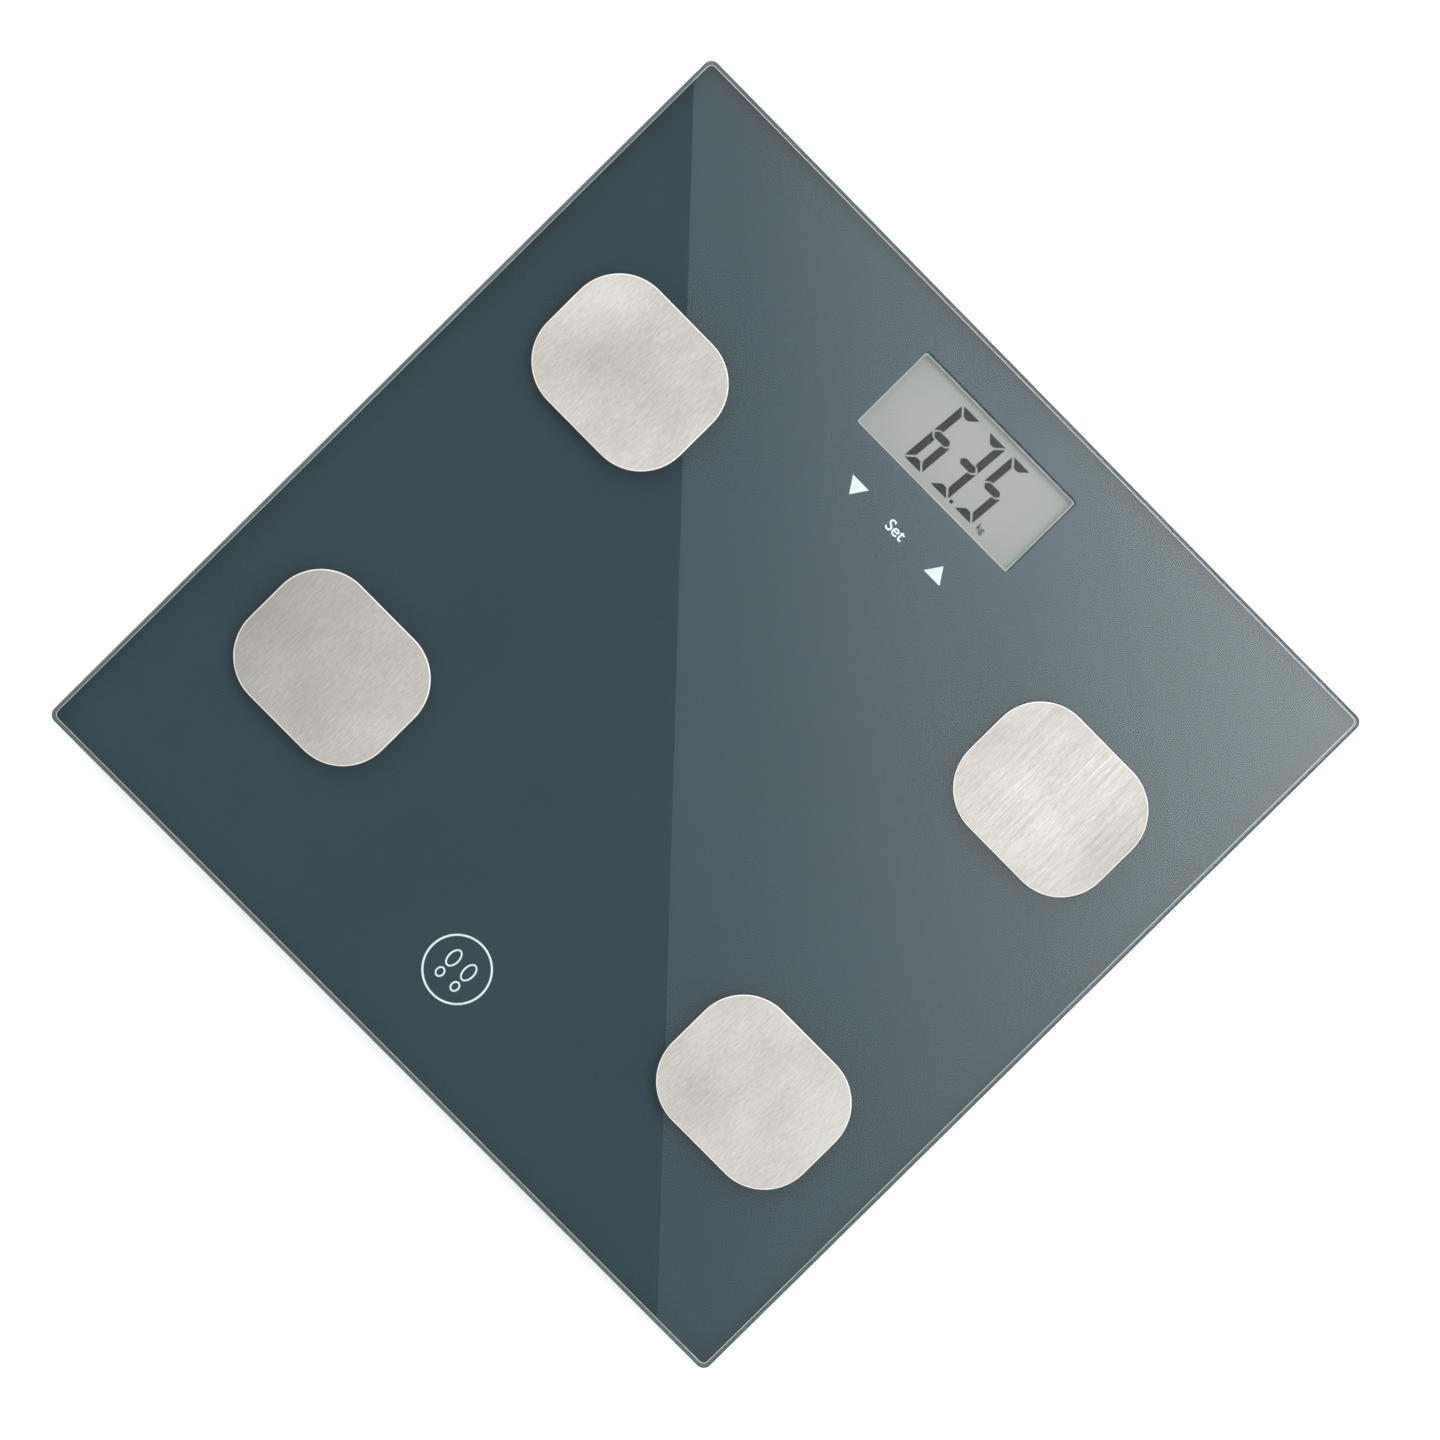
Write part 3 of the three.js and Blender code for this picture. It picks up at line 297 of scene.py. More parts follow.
def maths(tree, operation, a, b):
    return add(tree, "ShaderNodeMath", {0: a, 1: b}, operation=operation).outputs[0]


def relief(tree, surface, height, depth, strength=1.0):
    """Raises the surface by a height between 0 and 1, as deep as depth in millimetres."""
    inputs = {"Strength": strength, "Distance": depth * MM, "Height": height}
    tree.links.new(add(tree, "ShaderNodeBump", inputs).outputs[0], surface.inputs["Normal"])


def two_tones(tree, surface, value, dark, light, start=0.3, end=0.7):
    tree.links.new(ramp(tree, value, (start, dark), (end, light)), surface.inputs["Base Color"])


def roughness(tree, surface, value, low, high):
    tree.links.new(span(tree, value, low, high), surface.inputs["Roughness"])


def finish(name, dark, light, size, rough, metal=0.0, bump=0.0, bump_size=0.5, stretch=(1, 1, 1),
           specular=0.5):
    """A surface in two tones with its own roughness and relief. Sizes and the relief's depth are in
    millimetres."""
    m, t, s = shader(name)
    two_tones(t, s, grain(t, size, stretch), dark, light)
    roughness(t, s, grain(t, size * 0.4, stretch), *rough)
    s.inputs["Metallic"].default_value = metal
    s.inputs["Specular IOR Level"].default_value = specular
    if bump:
        relief(t, s, grain(t, bump_size, stretch), bump)
    return m


low, high = box("glass_platform")
BACK = low.z + 0.01  # the glass's underside, a hair over the enamel's CAD layer
CORNER = 3  # the corners' radius
ROUND = 1.0  # the ground edge
ROUND_STEPS = 4
MARGIN, MARGIN_CORNER = 1.1, 1.9  # the clear rim round the enamel
WINDOW = (68.6, 31.9, 1.0, middle("display_bezel"))
STUD_HOLE = 1.8
GLASS_IOR = 1.5

ground, t, s = shader("ground edge")  # matt enough to scatter what is behind it
s.inputs["IOR"].default_value = GLASS_IOR
s.inputs["Transmission Weight"].default_value = 0.15
s.inputs["Specular IOR Level"].default_value = 0.5
two_tones(t, s, grain(t, 12, detail=2), (0.085, 0.106, 0.108), (0.100, 0.124, 0.125))
roughness(t, s, grain(t, 4), 0.14, 0.20)

clear, t, s = shader("clear glass")
s.inputs["Transmission Weight"].default_value = 1
s.inputs["IOR"].default_value = GLASS_IOR
two_tones(t, s, grain(t, 90, detail=1), (0.955, 0.985, 0.97), (0.965, 0.99, 0.975), 0.35, 0.65)
s.inputs["Roughness"].default_value = 0
lamp_ray = add(t, "ShaderNodeLightPath").outputs["Is Shadow Ray"]
pass_on = add(t, "ShaderNodeBsdfTransparent", {"Color": (0.93, 0.96, 0.945, 1)}).outputs[0]
mix = add(t, "ShaderNodeMixShader", {0: lamp_ray, 1: s.outputs[0], 2: pass_on})
t.links.new(mix.outputs[0], t.nodes["Material Output"].inputs["Surface"])

GLARE = 0.012  # what the coated faces still mirror
window_glass, t, s = shader("window glass")  # over the display both faces are coated against glare
tint = ramp(t, grain(t, 30, detail=1), (0.3, (0.962, 0.968, 0.962)), (0.7, (0.975, 0.98, 0.975)))
see_through = add(t, "ShaderNodeBsdfTransparent", {"Color": tint}).outputs[0]
glare = add(t, "ShaderNodeBsdfGlossy", {"Roughness": 0.02}).outputs[0]
mix = add(t, "ShaderNodeMixShader", {0: GLARE, 1: see_through, 2: glare})
t.links.new(mix.outputs[0], t.nodes["Material Output"].inputs["Surface"])

enamel = finish("fired enamel", (0.0225, 0.0525, 0.067), (0.0245, 0.056, 0.071), 60, (0.55, 0.7),
                specular=0.0)
enamel_back = finish("fired enamel's back", (0.026, 0.034, 0.038), (0.034, 0.043, 0.048), 14,
                     (0.42, 0.6), bump=0.006, bump_size=0.8)

CLEAR, ENAMEL, GROUND, COATED = range(4)  # the pane's materials
bm = bmesh.new()
w, d = high.x - low.x, high.y - low.y
angles = [math.pi / 2 * k / ROUND_STEPS for k in range(ROUND_STEPS + 1)]
rims = [(ROUND * (1 - math.sin(a)), BACK + ROUND * (1 - math.cos(a))) for a in angles]  # the lower round
rims += [(ROUND * (1 - math.cos(a)), high.z - ROUND * (1 - math.sin(a))) for a in angles]  # the upper
rims = [ring(bm, outline(w - 2 * i, d - 2 * i, CORNER - i), z) for i, z in rims]
for a, b in zip(rims, rims[1:]):
    walls(bm, a, b, GROUND)
margin = ring(bm, outline(w - 2 * MARGIN, d - 2 * MARGIN, MARGIN_CORNER), BACK)
window = ring(bm, outline(*WINDOW), BACK)
holes = [circle(STUD_HOLE, middle(f"electrode_stud_{q}"), 24) for q in QUARTERS]
low_holes = [ring(bm, hole, BACK) for hole in holes]
high_holes = [ring(bm, hole, high.z) for hole in holes]
for a, b in zip(low_holes, high_holes):
    walls(bm, a, b, CLEAR)
high_window = ring(bm, outline(*WINDOW), high.z)
fill(bm, rims[-1], high_window, *high_holes, material=CLEAR)
fill(bm, high_window, material=COATED)
fill(bm, rims[0], margin, material=CLEAR)
fill(bm, margin, window, *low_holes, material=ENAMEL)
fill(bm, window, material=COATED)
pane = make("pane", bm, clear, enamel, ground, window_glass)
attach(pane, "platform")
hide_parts("glass_platform")
paint(enamel_back, "back_print")

# The white marks. They are screen printed on the glass's back before the dark enamel: two arrows
# and a word over the touch keys, and a plain ring with two soles in it near the front edge.
ink = finish("white ink", (0.80, 0.84, 0.84), (0.90, 0.93, 0.93), 3, (0.5, 0.65), specular=0.0)
INK = (BACK + 0.01, BACK + 0.03)
KEY_Y = middle("touch_spring_set")[1]


def text_shapes(bm, words, size, at, z):
    """Flat letters as a thin solid: at is the left end of the base line, z the solid's two heights."""
    curve = bpy.data.curves.new("letters", "FONT")
    curve.body = words
    curve.size = size * MM
    curve.resolution_u = 5
    curve.fill_mode = "FRONT"
    curve.offset = 0.014 * size * MM  # a little bolder
    ob = bpy.data.objects.new("letters", curve)
    scene.collection.objects.link(ob)
    flat = bpy.data.meshes.new_from_object(ob)
    bpy.data.objects.remove(ob)
    part = bmesh.new()
    part.from_mesh(flat)
    bmesh.ops.remove_doubles(part, verts=part.verts, dist=1e-7)
    up = bmesh.ops.extrude_face_region(part, geom=part.faces[:])["geom"]
    up = [v for v in up if isinstance(v, bmesh.types.BMVert)]
    bmesh.ops.translate(part, vec=(0, 0, (z[1] - z[0]) * MM), verts=up)
    bmesh.ops.translate(part, vec=(at[0] * MM, at[1] * MM, z[0] * MM), verts=part.verts)
    part.to_mesh(flat)
    part.free()
    bm.from_mesh(flat)
    bpy.data.meshes.remove(flat)


def plate(bm, points, z, *holes):
    """A flat shape as a thin solid between the two heights, with holes."""
    low_rings = [ring(bm, p, z[0]) for p in (points, *holes)]
    high_rings = [ring(bm, p, z[1]) for p in (points, *holes)]
    for a, b in zip(low_rings, high_rings):
        walls(bm, a, b)
    fill(bm, *low_rings)
    fill(bm, *high_rings)


ARROW_HALF_H, ARROW_LEFT, ARROW_TIP, ARROW_RIGHT = 2.7, -3.95, -0.3, 3.35
BADGE, BADGE_R, LINE = (0.9, -114.8), 11.6, 0.7
SOLE_X, SOLE_LINE = 3.4, 0.6
SOLE_PARTS = ((1.9, 2.1, 3.4), (-4.4, 1.6, 1.9))  # each part's place along the sole and half sizes
bm = bmesh.new()
for key, way in (("down", 1), ("up", -1)):
    x, h = middle(f"touch_spring_{key}")[0], way * ARROW_HALF_H
    arrow = [(x + ARROW_LEFT, KEY_Y + h), (x + ARROW_TIP, KEY_Y - h), (x + ARROW_RIGHT, KEY_Y + h)]
    plate(bm, arrow, INK)
text_shapes(bm, "Set", 5.7, (-4.1, KEY_Y - 1.95), INK)
plate(bm, circle(BADGE_R, BADGE, 96), INK, circle(BADGE_R - LINE, BADGE, 96))
for side in (-1, 1):
    for y, w, d in SOLE_PARTS:
        at = (BADGE[0] + side * SOLE_X, BADGE[1] + y)
        oval = [(at[0] + w * x, at[1] + d * y) for x, y in circle(1, (0, 0), 40)]
        hole = [
            (at[0] + (w - SOLE_LINE) * x, at[1] + (d - SOLE_LINE) * y) for x, y in circle(1, (0, 0), 40)
        ]
        plate(bm, oval, INK, hole)
marks = make("printed_marks", bm, ink)
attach(marks, "platform")

# The four electrodes. Plates of 0.5 mm stainless steel with round ends, brushed from back to front
# and deburred, with a painted highlight in paler metal on the top edge's bevel, each bonded to the
# pane over a thin dark film, whose rim round the plate is also a painted contact shadow, and held by
# the stud through the hole.
ELECTRODE_CORNER, ELECTRODE_STEPS = 18, 24
BEVEL = 0.11  # how far down from the top face the painted edge highlight reaches
steel, t, s = shader("brushed steel")
s.inputs["Metallic"].default_value = 1
streaks = grain(t, 0.15, (1, 18, 1), detail=3, rough=0.65)
patches = grain(t, 45, detail=2)
both = maths(t, "MULTIPLY", maths(t, "ADD", streaks, patches), 0.5)
tones = ((0.36, (0.335, 0.309, 0.283)), (0.5, (0.425, 0.397, 0.366)), (0.64, (0.54, 0.511, 0.476)))
t.links.new(ramp(t, both, *tones), s.inputs["Base Color"])
roughness(t, s, grain(t, 0.3, (1, 60, 1)), 0.48, 0.6)
scratch = span(t, grain(t, 0.5, (1, 40, 1), detail=2), 0.0, 1.0, 0.62, 0.66)
relief(t, s, maths(t, "SUBTRACT", streaks, scratch), 0.012, 0.35)
# A paler, smoother metal on the bevel: a painted highlight, standing for the light that the rim catches.
painted_highlight_edge = finish("edge with painted highlight", (0.78, 0.76, 0.73), (0.88, 0.86, 0.83), 2, (0.35, 0.45), metal=0.2)
# The dark rim that this film leaves round each plate is partly the real adhesive and partly a painted
# contact shadow.
film_and_painted_shadow = finish("bonding film and painted shadow", (0.030, 0.033, 0.036), (0.05, 0.053, 0.056), 1.5, (0.5, 0.7), bump=0.004)
for q in QUARTERS:
    low, high = box(f"electrode_{q}")
    w, d, at = high.x - low.x, high.y - low.y, middle(f"electrode_{q}")
    levels = (
        (0.35, low.z + 0.03), (0.35, low.z + 0.10), (0.08, low.z + 0.12), (0, low.z + 0.18),
        (0, high.z - 0.2), (0.06, high.z - 0.1), (0.2, high.z - 0.03), (0.38, high.z),
    )  # how far in, and how high
    bm = bmesh.new()
    slab(bm, [
        (outline(w - 2 * i, d - 2 * i, ELECTRODE_CORNER - i, at, ELECTRODE_STEPS), z) for i, z in levels
    ])
    bm.normal_update()
    # The bevel's faces near the top take the painted highlight.
    for f in bm.faces:
        on_bevel = f.calc_center_median().z > (high.z - BEVEL) * MM and f.normal.z < 0.999
        f.material_index = 1 if on_bevel else 0
    electrode = make(f"electrode_plate_{q}", bm, steel, painted_highlight_edge)
    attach(electrode, "platform")
    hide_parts(f"electrode_{q}")
    # The dark film, 0.25 mm wider than the plate all round: partly adhesive, partly painted contact shadow.
    bm = bmesh.new()
    slab(bm, [
        (outline(w + 2 * i, d + 2 * i, ELECTRODE_CORNER + i, at, ELECTRODE_STEPS), z)
        for i, z in ((0.25, low.z + 0.005), (0.15, low.z + 0.028))
    ])
    backing = make(f"electrode_film_and_shadow_{q}", bm, film_and_painted_shadow)
    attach(backing, "platform")

# The display. A flat glass panel with liquid crystal between two polarisers, over a grey backing,
# in a pale bezel that stands up to the pane. It shows a reading in slanted seven-part figures.
panel, t, s = shader("display ground")
s.inputs["Roughness"].default_value = 0.35
s.inputs["Specular IOR Level"].default_value = 0.0
two_tones(t, s, grain(t, 25, detail=2), (0.358, 0.353, 0.345), (0.378, 0.370, 0.366))
relief(t, s, grain(t, 0.6), 0.003, 0.3)
paint(panel, "lcd_panel")
bezel_paint = finish("bezel", (0.42, 0.46, 0.435), (0.50, 0.535, 0.51), 8, (0.4, 0.5), bump=0.006)
paint(bezel_paint, "display_bezel")
figure = finish("figures", (0.016, 0.017, 0.018), (0.024, 0.025, 0.026), 6, (0.4, 0.5), specular=0.0)

FIGURES = (("acdefg", -15.8), ("abcdg", -3.8), ("acdfg", 7.4))  # the lit parts of 6, 3 and 5, and places
W, H, T, GAP = 8.1, 25.2, 2.6, 0.48  # a figure's width, height, stroke and the slit between its parts
M = H / 2
SLANT = math.tan(math.radians(4.6))
POINT, POINT_SIZE, POINT_LEAN = 5.1, 1.2, 0.1
UNIT, UNIT_SIZE = 17.3, 3.3


def figure_parts():
    """The outlines of a figure's seven parts, upright, from its lower left corner."""
    flat = {
        "a": [(GAP, H), (T + GAP, H - T), (W - T - GAP, H - T), (W - GAP, H)],
        "d": [(GAP, 0), (W - GAP, 0), (W - T - GAP, T), (T + GAP, T)],
        "g": [
            (GAP * 1.5, M), (T / 2 + GAP, M - T / 2), (W - T / 2 - GAP, M - T / 2),
            (W - GAP * 1.5, M), (W - T / 2 - GAP, M + T / 2), (T / 2 + GAP, M + T / 2),
        ],
        "f": [
            (0, H - GAP), (0, M + GAP / 2), (T / 2, M + T / 2 + GAP / 2), (T, M + T / 2 + GAP),
            (T, H - T - GAP),
        ],
    }
    flat["e"] = [(x, H - y) for x, y in reversed(flat["f"])]
    flat["b"] = [(W - x, y) for x, y in reversed(flat["f"])]
    flat["c"] = [(W - x, H - y) for x, y in flat["f"]]
    return flat


bm = bmesh.new()
face_z = box("lcd_panel")[1].z
SHOWN = (face_z + 0.005, face_z + 0.03)
BASE_Y = WINDOW[3][1] - 12.7
parts = figure_parts()
for lit, x in FIGURES:
    for part in lit:
        plate(bm, [(x + px + py * SLANT, BASE_Y + py) for px, py in parts[part]], SHOWN)
square = [(0, 0), (POINT_SIZE, 0), (POINT_SIZE + POINT_LEAN, POINT_SIZE), (POINT_LEAN, POINT_SIZE)]
plate(bm, [(POINT + x, BASE_Y + y) for x, y in square], SHOWN)
text_shapes(bm, "kg", UNIT_SIZE, (UNIT, BASE_Y + 0.1), SHOWN)
figures = make("shown_reading", bm, figure)
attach(figures, "platform")

# The feet. Under each corner a moulded plastic cup is bonded to the pane and holds the load cell. A
# moulded shell floats in the cup on the cell's tongue, and a ribbed rubber pad is pressed into its
# underside. All are dark, and the pad is the palest.
def lathe(bm, profile, at, steps=72):
    """A profile of (radius, height) turned about the upright line at that place."""
    verts = [bm.verts.new(((at[0] + r) * MM, at[1] * MM, z * MM)) for r, z in profile]
    edges = [bm.edges.new(pair) for pair in zip(verts, verts[1:])]
    centre = (at[0] * MM, at[1] * MM, 0)
    bmesh.ops.spin(bm, geom=verts + edges, cent=centre, axis=(0, 0, 1), angle=2 * math.pi,
                   steps=steps, use_merge=True)
    bmesh.ops.remove_doubles(bm, verts=bm.verts, dist=1e-7)


CUP_WALL, SKIRT_IN = 2, 4.5  # the cup's wall, and how far its turned-in lip reaches
LIP = 1.2  # the lip's thickness
ROOF = 1.6
SLOT_H, SLOT_HALF_W = 2, 2.1  # the slot that the lead comes through
CELL_RIB = (3, 23, 13)  # a rib that the cell is bonded to: width, length, distance from the middle
CELL_RAIL = (11, 1.2, 15.4)  # a rail that the cell lies by
PAD_SEAT_R, SEAT_FOOT_Z = 16.6, 1.45  # the shell's recess for the pad
RIM_IN = 2.5  # from the shell's flange in to its wall
FLANGE_Z, FLANGE_TOP = 8.0, 9.2
FLOOR_Z = 4.3  # the shell's inner floor
BOSS_R = 4.9  # the boss that presses the cell's tongue
RIB_COUNT, RIB_AT, RIB_STEP, RIB_W, RIB_H = 5, 3.0, 2.5, 0.8, 0.45  # the pad's rings

shell_plastic = finish("foot shell plastic", (0.060, 0.063, 0.066), (0.082, 0.085, 0.088), 5,
                       (0.42, 0.6), bump=0.012, bump_size=0.35)
mount_plastic = finish("mount plastic", (0.030, 0.032, 0.034), (0.044, 0.046, 0.049), 7,
                       (0.45, 0.62), bump=0.015, bump_size=0.4)
rubber = finish("pad rubber", (0.115, 0.118, 0.120), (0.155, 0.158, 0.160), 3, (0.75, 0.92),
                bump=0.02, bump_size=0.25, specular=0.3)
for q in QUARTERS:
    low, high = box(f"foot_mount_{q}")
    cup, at = (high.x - low.x) / 2, middle(f"foot_mount_{q}")
    inside, lip = cup - CUP_WALL, cup - SKIRT_IN
    cell_low, cell_high = box(f"load_cell_{q}")
    slot_low = (cell_low.z + cell_high.z) / 2 - SLOT_H / 2
    slot_high = slot_low + SLOT_H
    top_z = high.z - ROOF
    bm = bmesh.new()
    lathe(bm, [
        (inside, slot_low), (inside, low.z + LIP), (lip, low.z + LIP), (lip - 0.1, low.z + 1.1),
        (lip - 0.1, low.z + 0.15), (lip + 0.05, low.z), (cup - 0.5, low.z), (cup - 0.15, low.z + 0.15),
        (cup, low.z + 0.5), (cup, slot_low), (inside, slot_low),
    ], at)
    gap = math.asin(SLOT_HALF_W / (cup - 1))
    turn = math.pi if at[0] > 0 else 0.0  # the slot faces the middle of the scale
    angles = [turn + gap + (2 * math.pi - 2 * gap) * k / 70 for k in range(71)]
    band = [(at[0] + cup * math.cos(a), at[1] + cup * math.sin(a)) for a in angles]
    band += [(at[0] + inside * math.cos(a), at[1] + inside * math.sin(a)) for a in reversed(angles)]
    plate(bm, band, (slot_low, slot_high))
    lathe(bm, [
        (0, top_z), (inside, top_z), (inside, slot_high), (cup, slot_high), (cup, high.z - 0.3),
        (cup - 0.1, high.z - 0.1), (cup - 0.3, high.z), (0, high.z),
    ], at)
    for k in (-1, 1):
        w, d, off = CELL_RIB
        plate(bm, outline(w, d, 0.3, (at[0] + off * k, at[1]), 3), (cell_high.z, top_z))
        w, d, off = CELL_RAIL
        plate(bm, outline(w, d, 0.3, (at[0], at[1] + off * k), 3), (cell_low.z, top_z))
    mount = make(f"mount_{q}", bm, mount_plastic)
    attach(mount, "platform")
    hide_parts(f"foot_mount_{q}")

    low, high = box(f"foot_shell_{q}")
    at = middle(f"foot_shell_{q}")
    flange, top, pad_top = (high.x - low.x) / 2, high.z, box(f"rubber_pad_{q}")[1].z
    wall = flange - RIM_IN
    bm = bmesh.new()
    lathe(bm, [
        (0, pad_top + 0.02), (PAD_SEAT_R, pad_top + 0.02), (PAD_SEAT_R + 0.1, SEAT_FOOT_Z),
        (PAD_SEAT_R + 0.35, low.z), (wall - 0.75, low.z), (wall - 0.32, low.z + 0.12),
        (wall - 0.07, low.z + 0.42), (wall, low.z + 0.8), (wall, FLANGE_Z - 0.25),
        (wall + 0.1, FLANGE_Z - 0.07), (wall + 0.3, FLANGE_Z), (flange - 0.25, FLANGE_Z),
        (flange - 0.05, FLANGE_Z + 0.12), (flange, FLANGE_Z + 0.3), (flange, FLANGE_TOP - 0.25),
        (flange - 0.2, FLANGE_TOP), (wall - 1.8, FLANGE_TOP), (wall - 2.0, FLANGE_TOP - 0.2),
        (wall - 2.0, FLOOR_Z + 0.3), (wall - 2.3, FLOOR_Z), (BOSS_R + 0.6, FLOOR_Z),
        (BOSS_R + 0.1, FLOOR_Z + 0.4), (BOSS_R, top - 0.5), (BOSS_R - 0.4, top), (0, top),
    ], at)
    shell = make(f"shell_{q}", bm, shell_plastic)
    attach(shell, f"foot_{q}")
    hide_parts(f"foot_shell_{q}")

    low, high = box(f"rubber_pad_{q}")
    r = (high.x - low.x) / 2
    ribs = []
    for k in range(RIB_COUNT):  # rings that grip a wet floor
        a = RIB_AT + RIB_STEP * k
        ribs += [(a, 0), (a + 0.15, RIB_H), (a + RIB_W - 0.15, RIB_H), (a + RIB_W, 0)]
    bm = bmesh.new()
    lathe(bm, [
        (0, 0), *ribs, (r - 1.0, 0), (r - 0.45, 0.12), (r - 0.12, 0.4), (r, 0.85), (r, high.z), (0, high.z),
    ], at)
    pad = make(f"pad_{q}", bm, rubber)
    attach(pad, f"foot_{q}")
    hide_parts(f"rubber_pad_{q}")

# The housing. A shallow box under the rear of the pane, moulded in two halves: the frame is bonded
# to the glass over a foam gasket, and the cover is held to it by four screws. The cover's face is
# spark eroded, with its markings moulded on.
frame_plastic = finish("frame plastic", (0.032, 0.034, 0.036), (0.046, 0.048, 0.051), 8, (0.45, 0.62),
                       bump=0.015, bump_size=0.4)
cover_plastic = finish("cover plastic", (0.058, 0.061, 0.064), (0.076, 0.079, 0.083), 9, (0.5, 0.68),
                       bump=0.02, bump_size=0.3)
foam = finish("gasket foam", (0.018, 0.018, 0.019), (0.042, 0.042, 0.044), 0.7, (0.85, 0.98),
              bump=0.12, bump_size=0.5, specular=0.2)
paint(frame_plastic, "housing_frame")
paint(cover_plastic, "housing_cover")
paint(foam, "housing_gasket")


def words_below(bm, words, size, at, z, about_x):
    """Raised letters that are mirrored about a line, so that they read from below."""
    part = bmesh.new()
    text_shapes(part, words, size, at, z)
    bmesh.ops.scale(part, vec=(-1, 1, 1), verts=part.verts)
    bmesh.ops.translate(part, vec=(2 * about_x * MM, 0, 0), verts=part.verts)
    bmesh.ops.reverse_faces(part, faces=part.faces)
    flat = bpy.data.meshes.new("words")
    part.to_mesh(flat)
    part.free()
    bm.from_mesh(flat)
    bpy.data.meshes.remove(flat)


low, high = box("housing_cover")
door_low, door_high = box("battery_door")
button = middle("unit_button")
FACE = (low.z - 0.12, low.z + 0.02)
LABEL_AT, LABEL, LABEL_LINE = (0, 112), (46, 24, 2), 0.4  # a framed field with four plain lines in it
FIRST_LINE_Y, LINE_STEP = 118.5, 4.2
bm = bmesh.new()
words_below(bm, "UNIT", 2.6, (button[0] - 3.3, button[1] + 5.2), FACE, button[0])
words_below(bm, "2 x AAA  1.5 V", 3.2, (-11.5, door_high.y + 3.2), FACE, 0)
plate(bm, circle(4.4, button, 48), FACE, circle(4.0, button, 48))
w, d, r = LABEL
inner = outline(w - 2 * LABEL_LINE, d - 2 * LABEL_LINE, r - LABEL_LINE, LABEL_AT, 6)
plate(bm, outline(w, d, r, LABEL_AT, 6), FACE, inner)
for k in range(4):
    plate(bm, outline(34 - 7 * (k % 2), 0.7, 0.3, (0, FIRST_LINE_Y - LINE_STEP * k), 3), FACE)
markings = make("cover_markings", bm, cover_plastic)
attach(markings, "platform")

# The battery door. A flat moulded lid with two hinge tabs and a latch tongue. Ridges by the finger
# notch and an arrow on either side show where it is pushed.
RIDGE_AT, RIDGE_STEP, RIDGE_LONG, RIDGE_LESS = 4.2, 1.3, 15, 1.6
door_plastic = finish("door plastic", (0.062, 0.065, 0.068), (0.082, 0.085, 0.089), 9, (0.48, 0.66),
                      bump=0.02, bump_size=0.3)
paint(door_plastic, "battery_door")
bm = bmesh.new()
for k in range(5):
    at, long = (0, door_low.y + RIDGE_AT + RIDGE_STEP * k), RIDGE_LONG - RIDGE_LESS * k
    foot, tip = outline(long, 0.6, 0.29, at, 4), outline(long - 0.4, 0.3, 0.14, at, 4)
    slab(bm, [(foot, low.z + 0.02), (foot, low.z - 0.12), (tip, low.z - 0.22)])
for sx in (-1, 1):
    x, y = sx * 17, door_low.y + 9
    plate(bm, [(x - 2.2, y), (x, y - 3.2), (x + 2.2, y)], FACE)
ridges = make("door_ridges", bm, door_plastic)
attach(ridges, "battery_door")

# The four cover screws. Zinc plated self-tapping screws with a low round head and a cross recess,
# sunk into the cover so that only their heads show. The recess is drawn as a thin dark cross laid on
# the head, and its dark colour is painted shade.
HEAD_H = 1.9
SHANK_R, THREAD_R, THREAD_W, PITCH = 1.0, 1.23, 0.5, 0.75
CROSS_HALF_W, CROSS_REACH, CROSS_DEEP = 0.32, 1.45, 0.08
zinc = finish("zinc plate", (0.46, 0.47, 0.48), (0.62, 0.63, 0.63), 1.2, (0.25, 0.42), metal=1.0,
              bump=0.004, bump_size=0.3)
painted_recess_shade = finish("screw recess painted shade", (0.035, 0.035, 0.036), (0.07, 0.07, 0.072), 0.6, (0.5, 0.7), metal=0.5)
for q in QUARTERS:
    low, high = box(f"cover_screw_{q}")
    at, r, seat = middle(f"cover_screw_{q}"), (high.x - low.x) / 2, low.z + HEAD_H
    thread = []
    z = seat + 0.5
    while z < high.z - 1.6:
        thread += [(SHANK_R, z), (THREAD_R, z + THREAD_W / 2), (SHANK_R, z + THREAD_W)]
        z += PITCH
    bm = bmesh.new()
    lathe(bm, [
        (0, low.z + 0.05), (r - 1.4, low.z + 0.06), (r - 0.7, low.z + 0.25), (r - 0.2, low.z + 0.7),
        (r, low.z + 1.3), (r, seat - 0.1), (r - 0.1, seat), (SHANK_R + 0.1, seat),
        (SHANK_R, seat + 0.2), *thread, (SHANK_R - 0.1, high.z - 1.2), (0.15, high.z - 0.02),
        (0, high.z - 0.02),
    ], at, 40)
    h, a = CROSS_HALF_W, CROSS_REACH
    cross = [(a, h), (h, h), (h, a), (-h, a), (-h, h), (-a, h), (-a, -h), (-h, -h), (-h, -a), (h, -a),
             (h, -h), (a, -h)]
    plate(bm, [(at[0] + x, at[1] + y) for x, y in cross], (low.z, low.z + CROSS_DEEP))
    # The cross's lowest faces take the dark colour: painted shade standing for the recess.
    for f in bm.faces:
        f.material_index = 1 if f.calc_center_median().z < (low.z + 0.045) * MM else 0
    screw = make(f"screw_{q}", bm, zinc, painted_recess_shade)
    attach(screw, "platform")
    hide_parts(f"cover_screw_{q}")

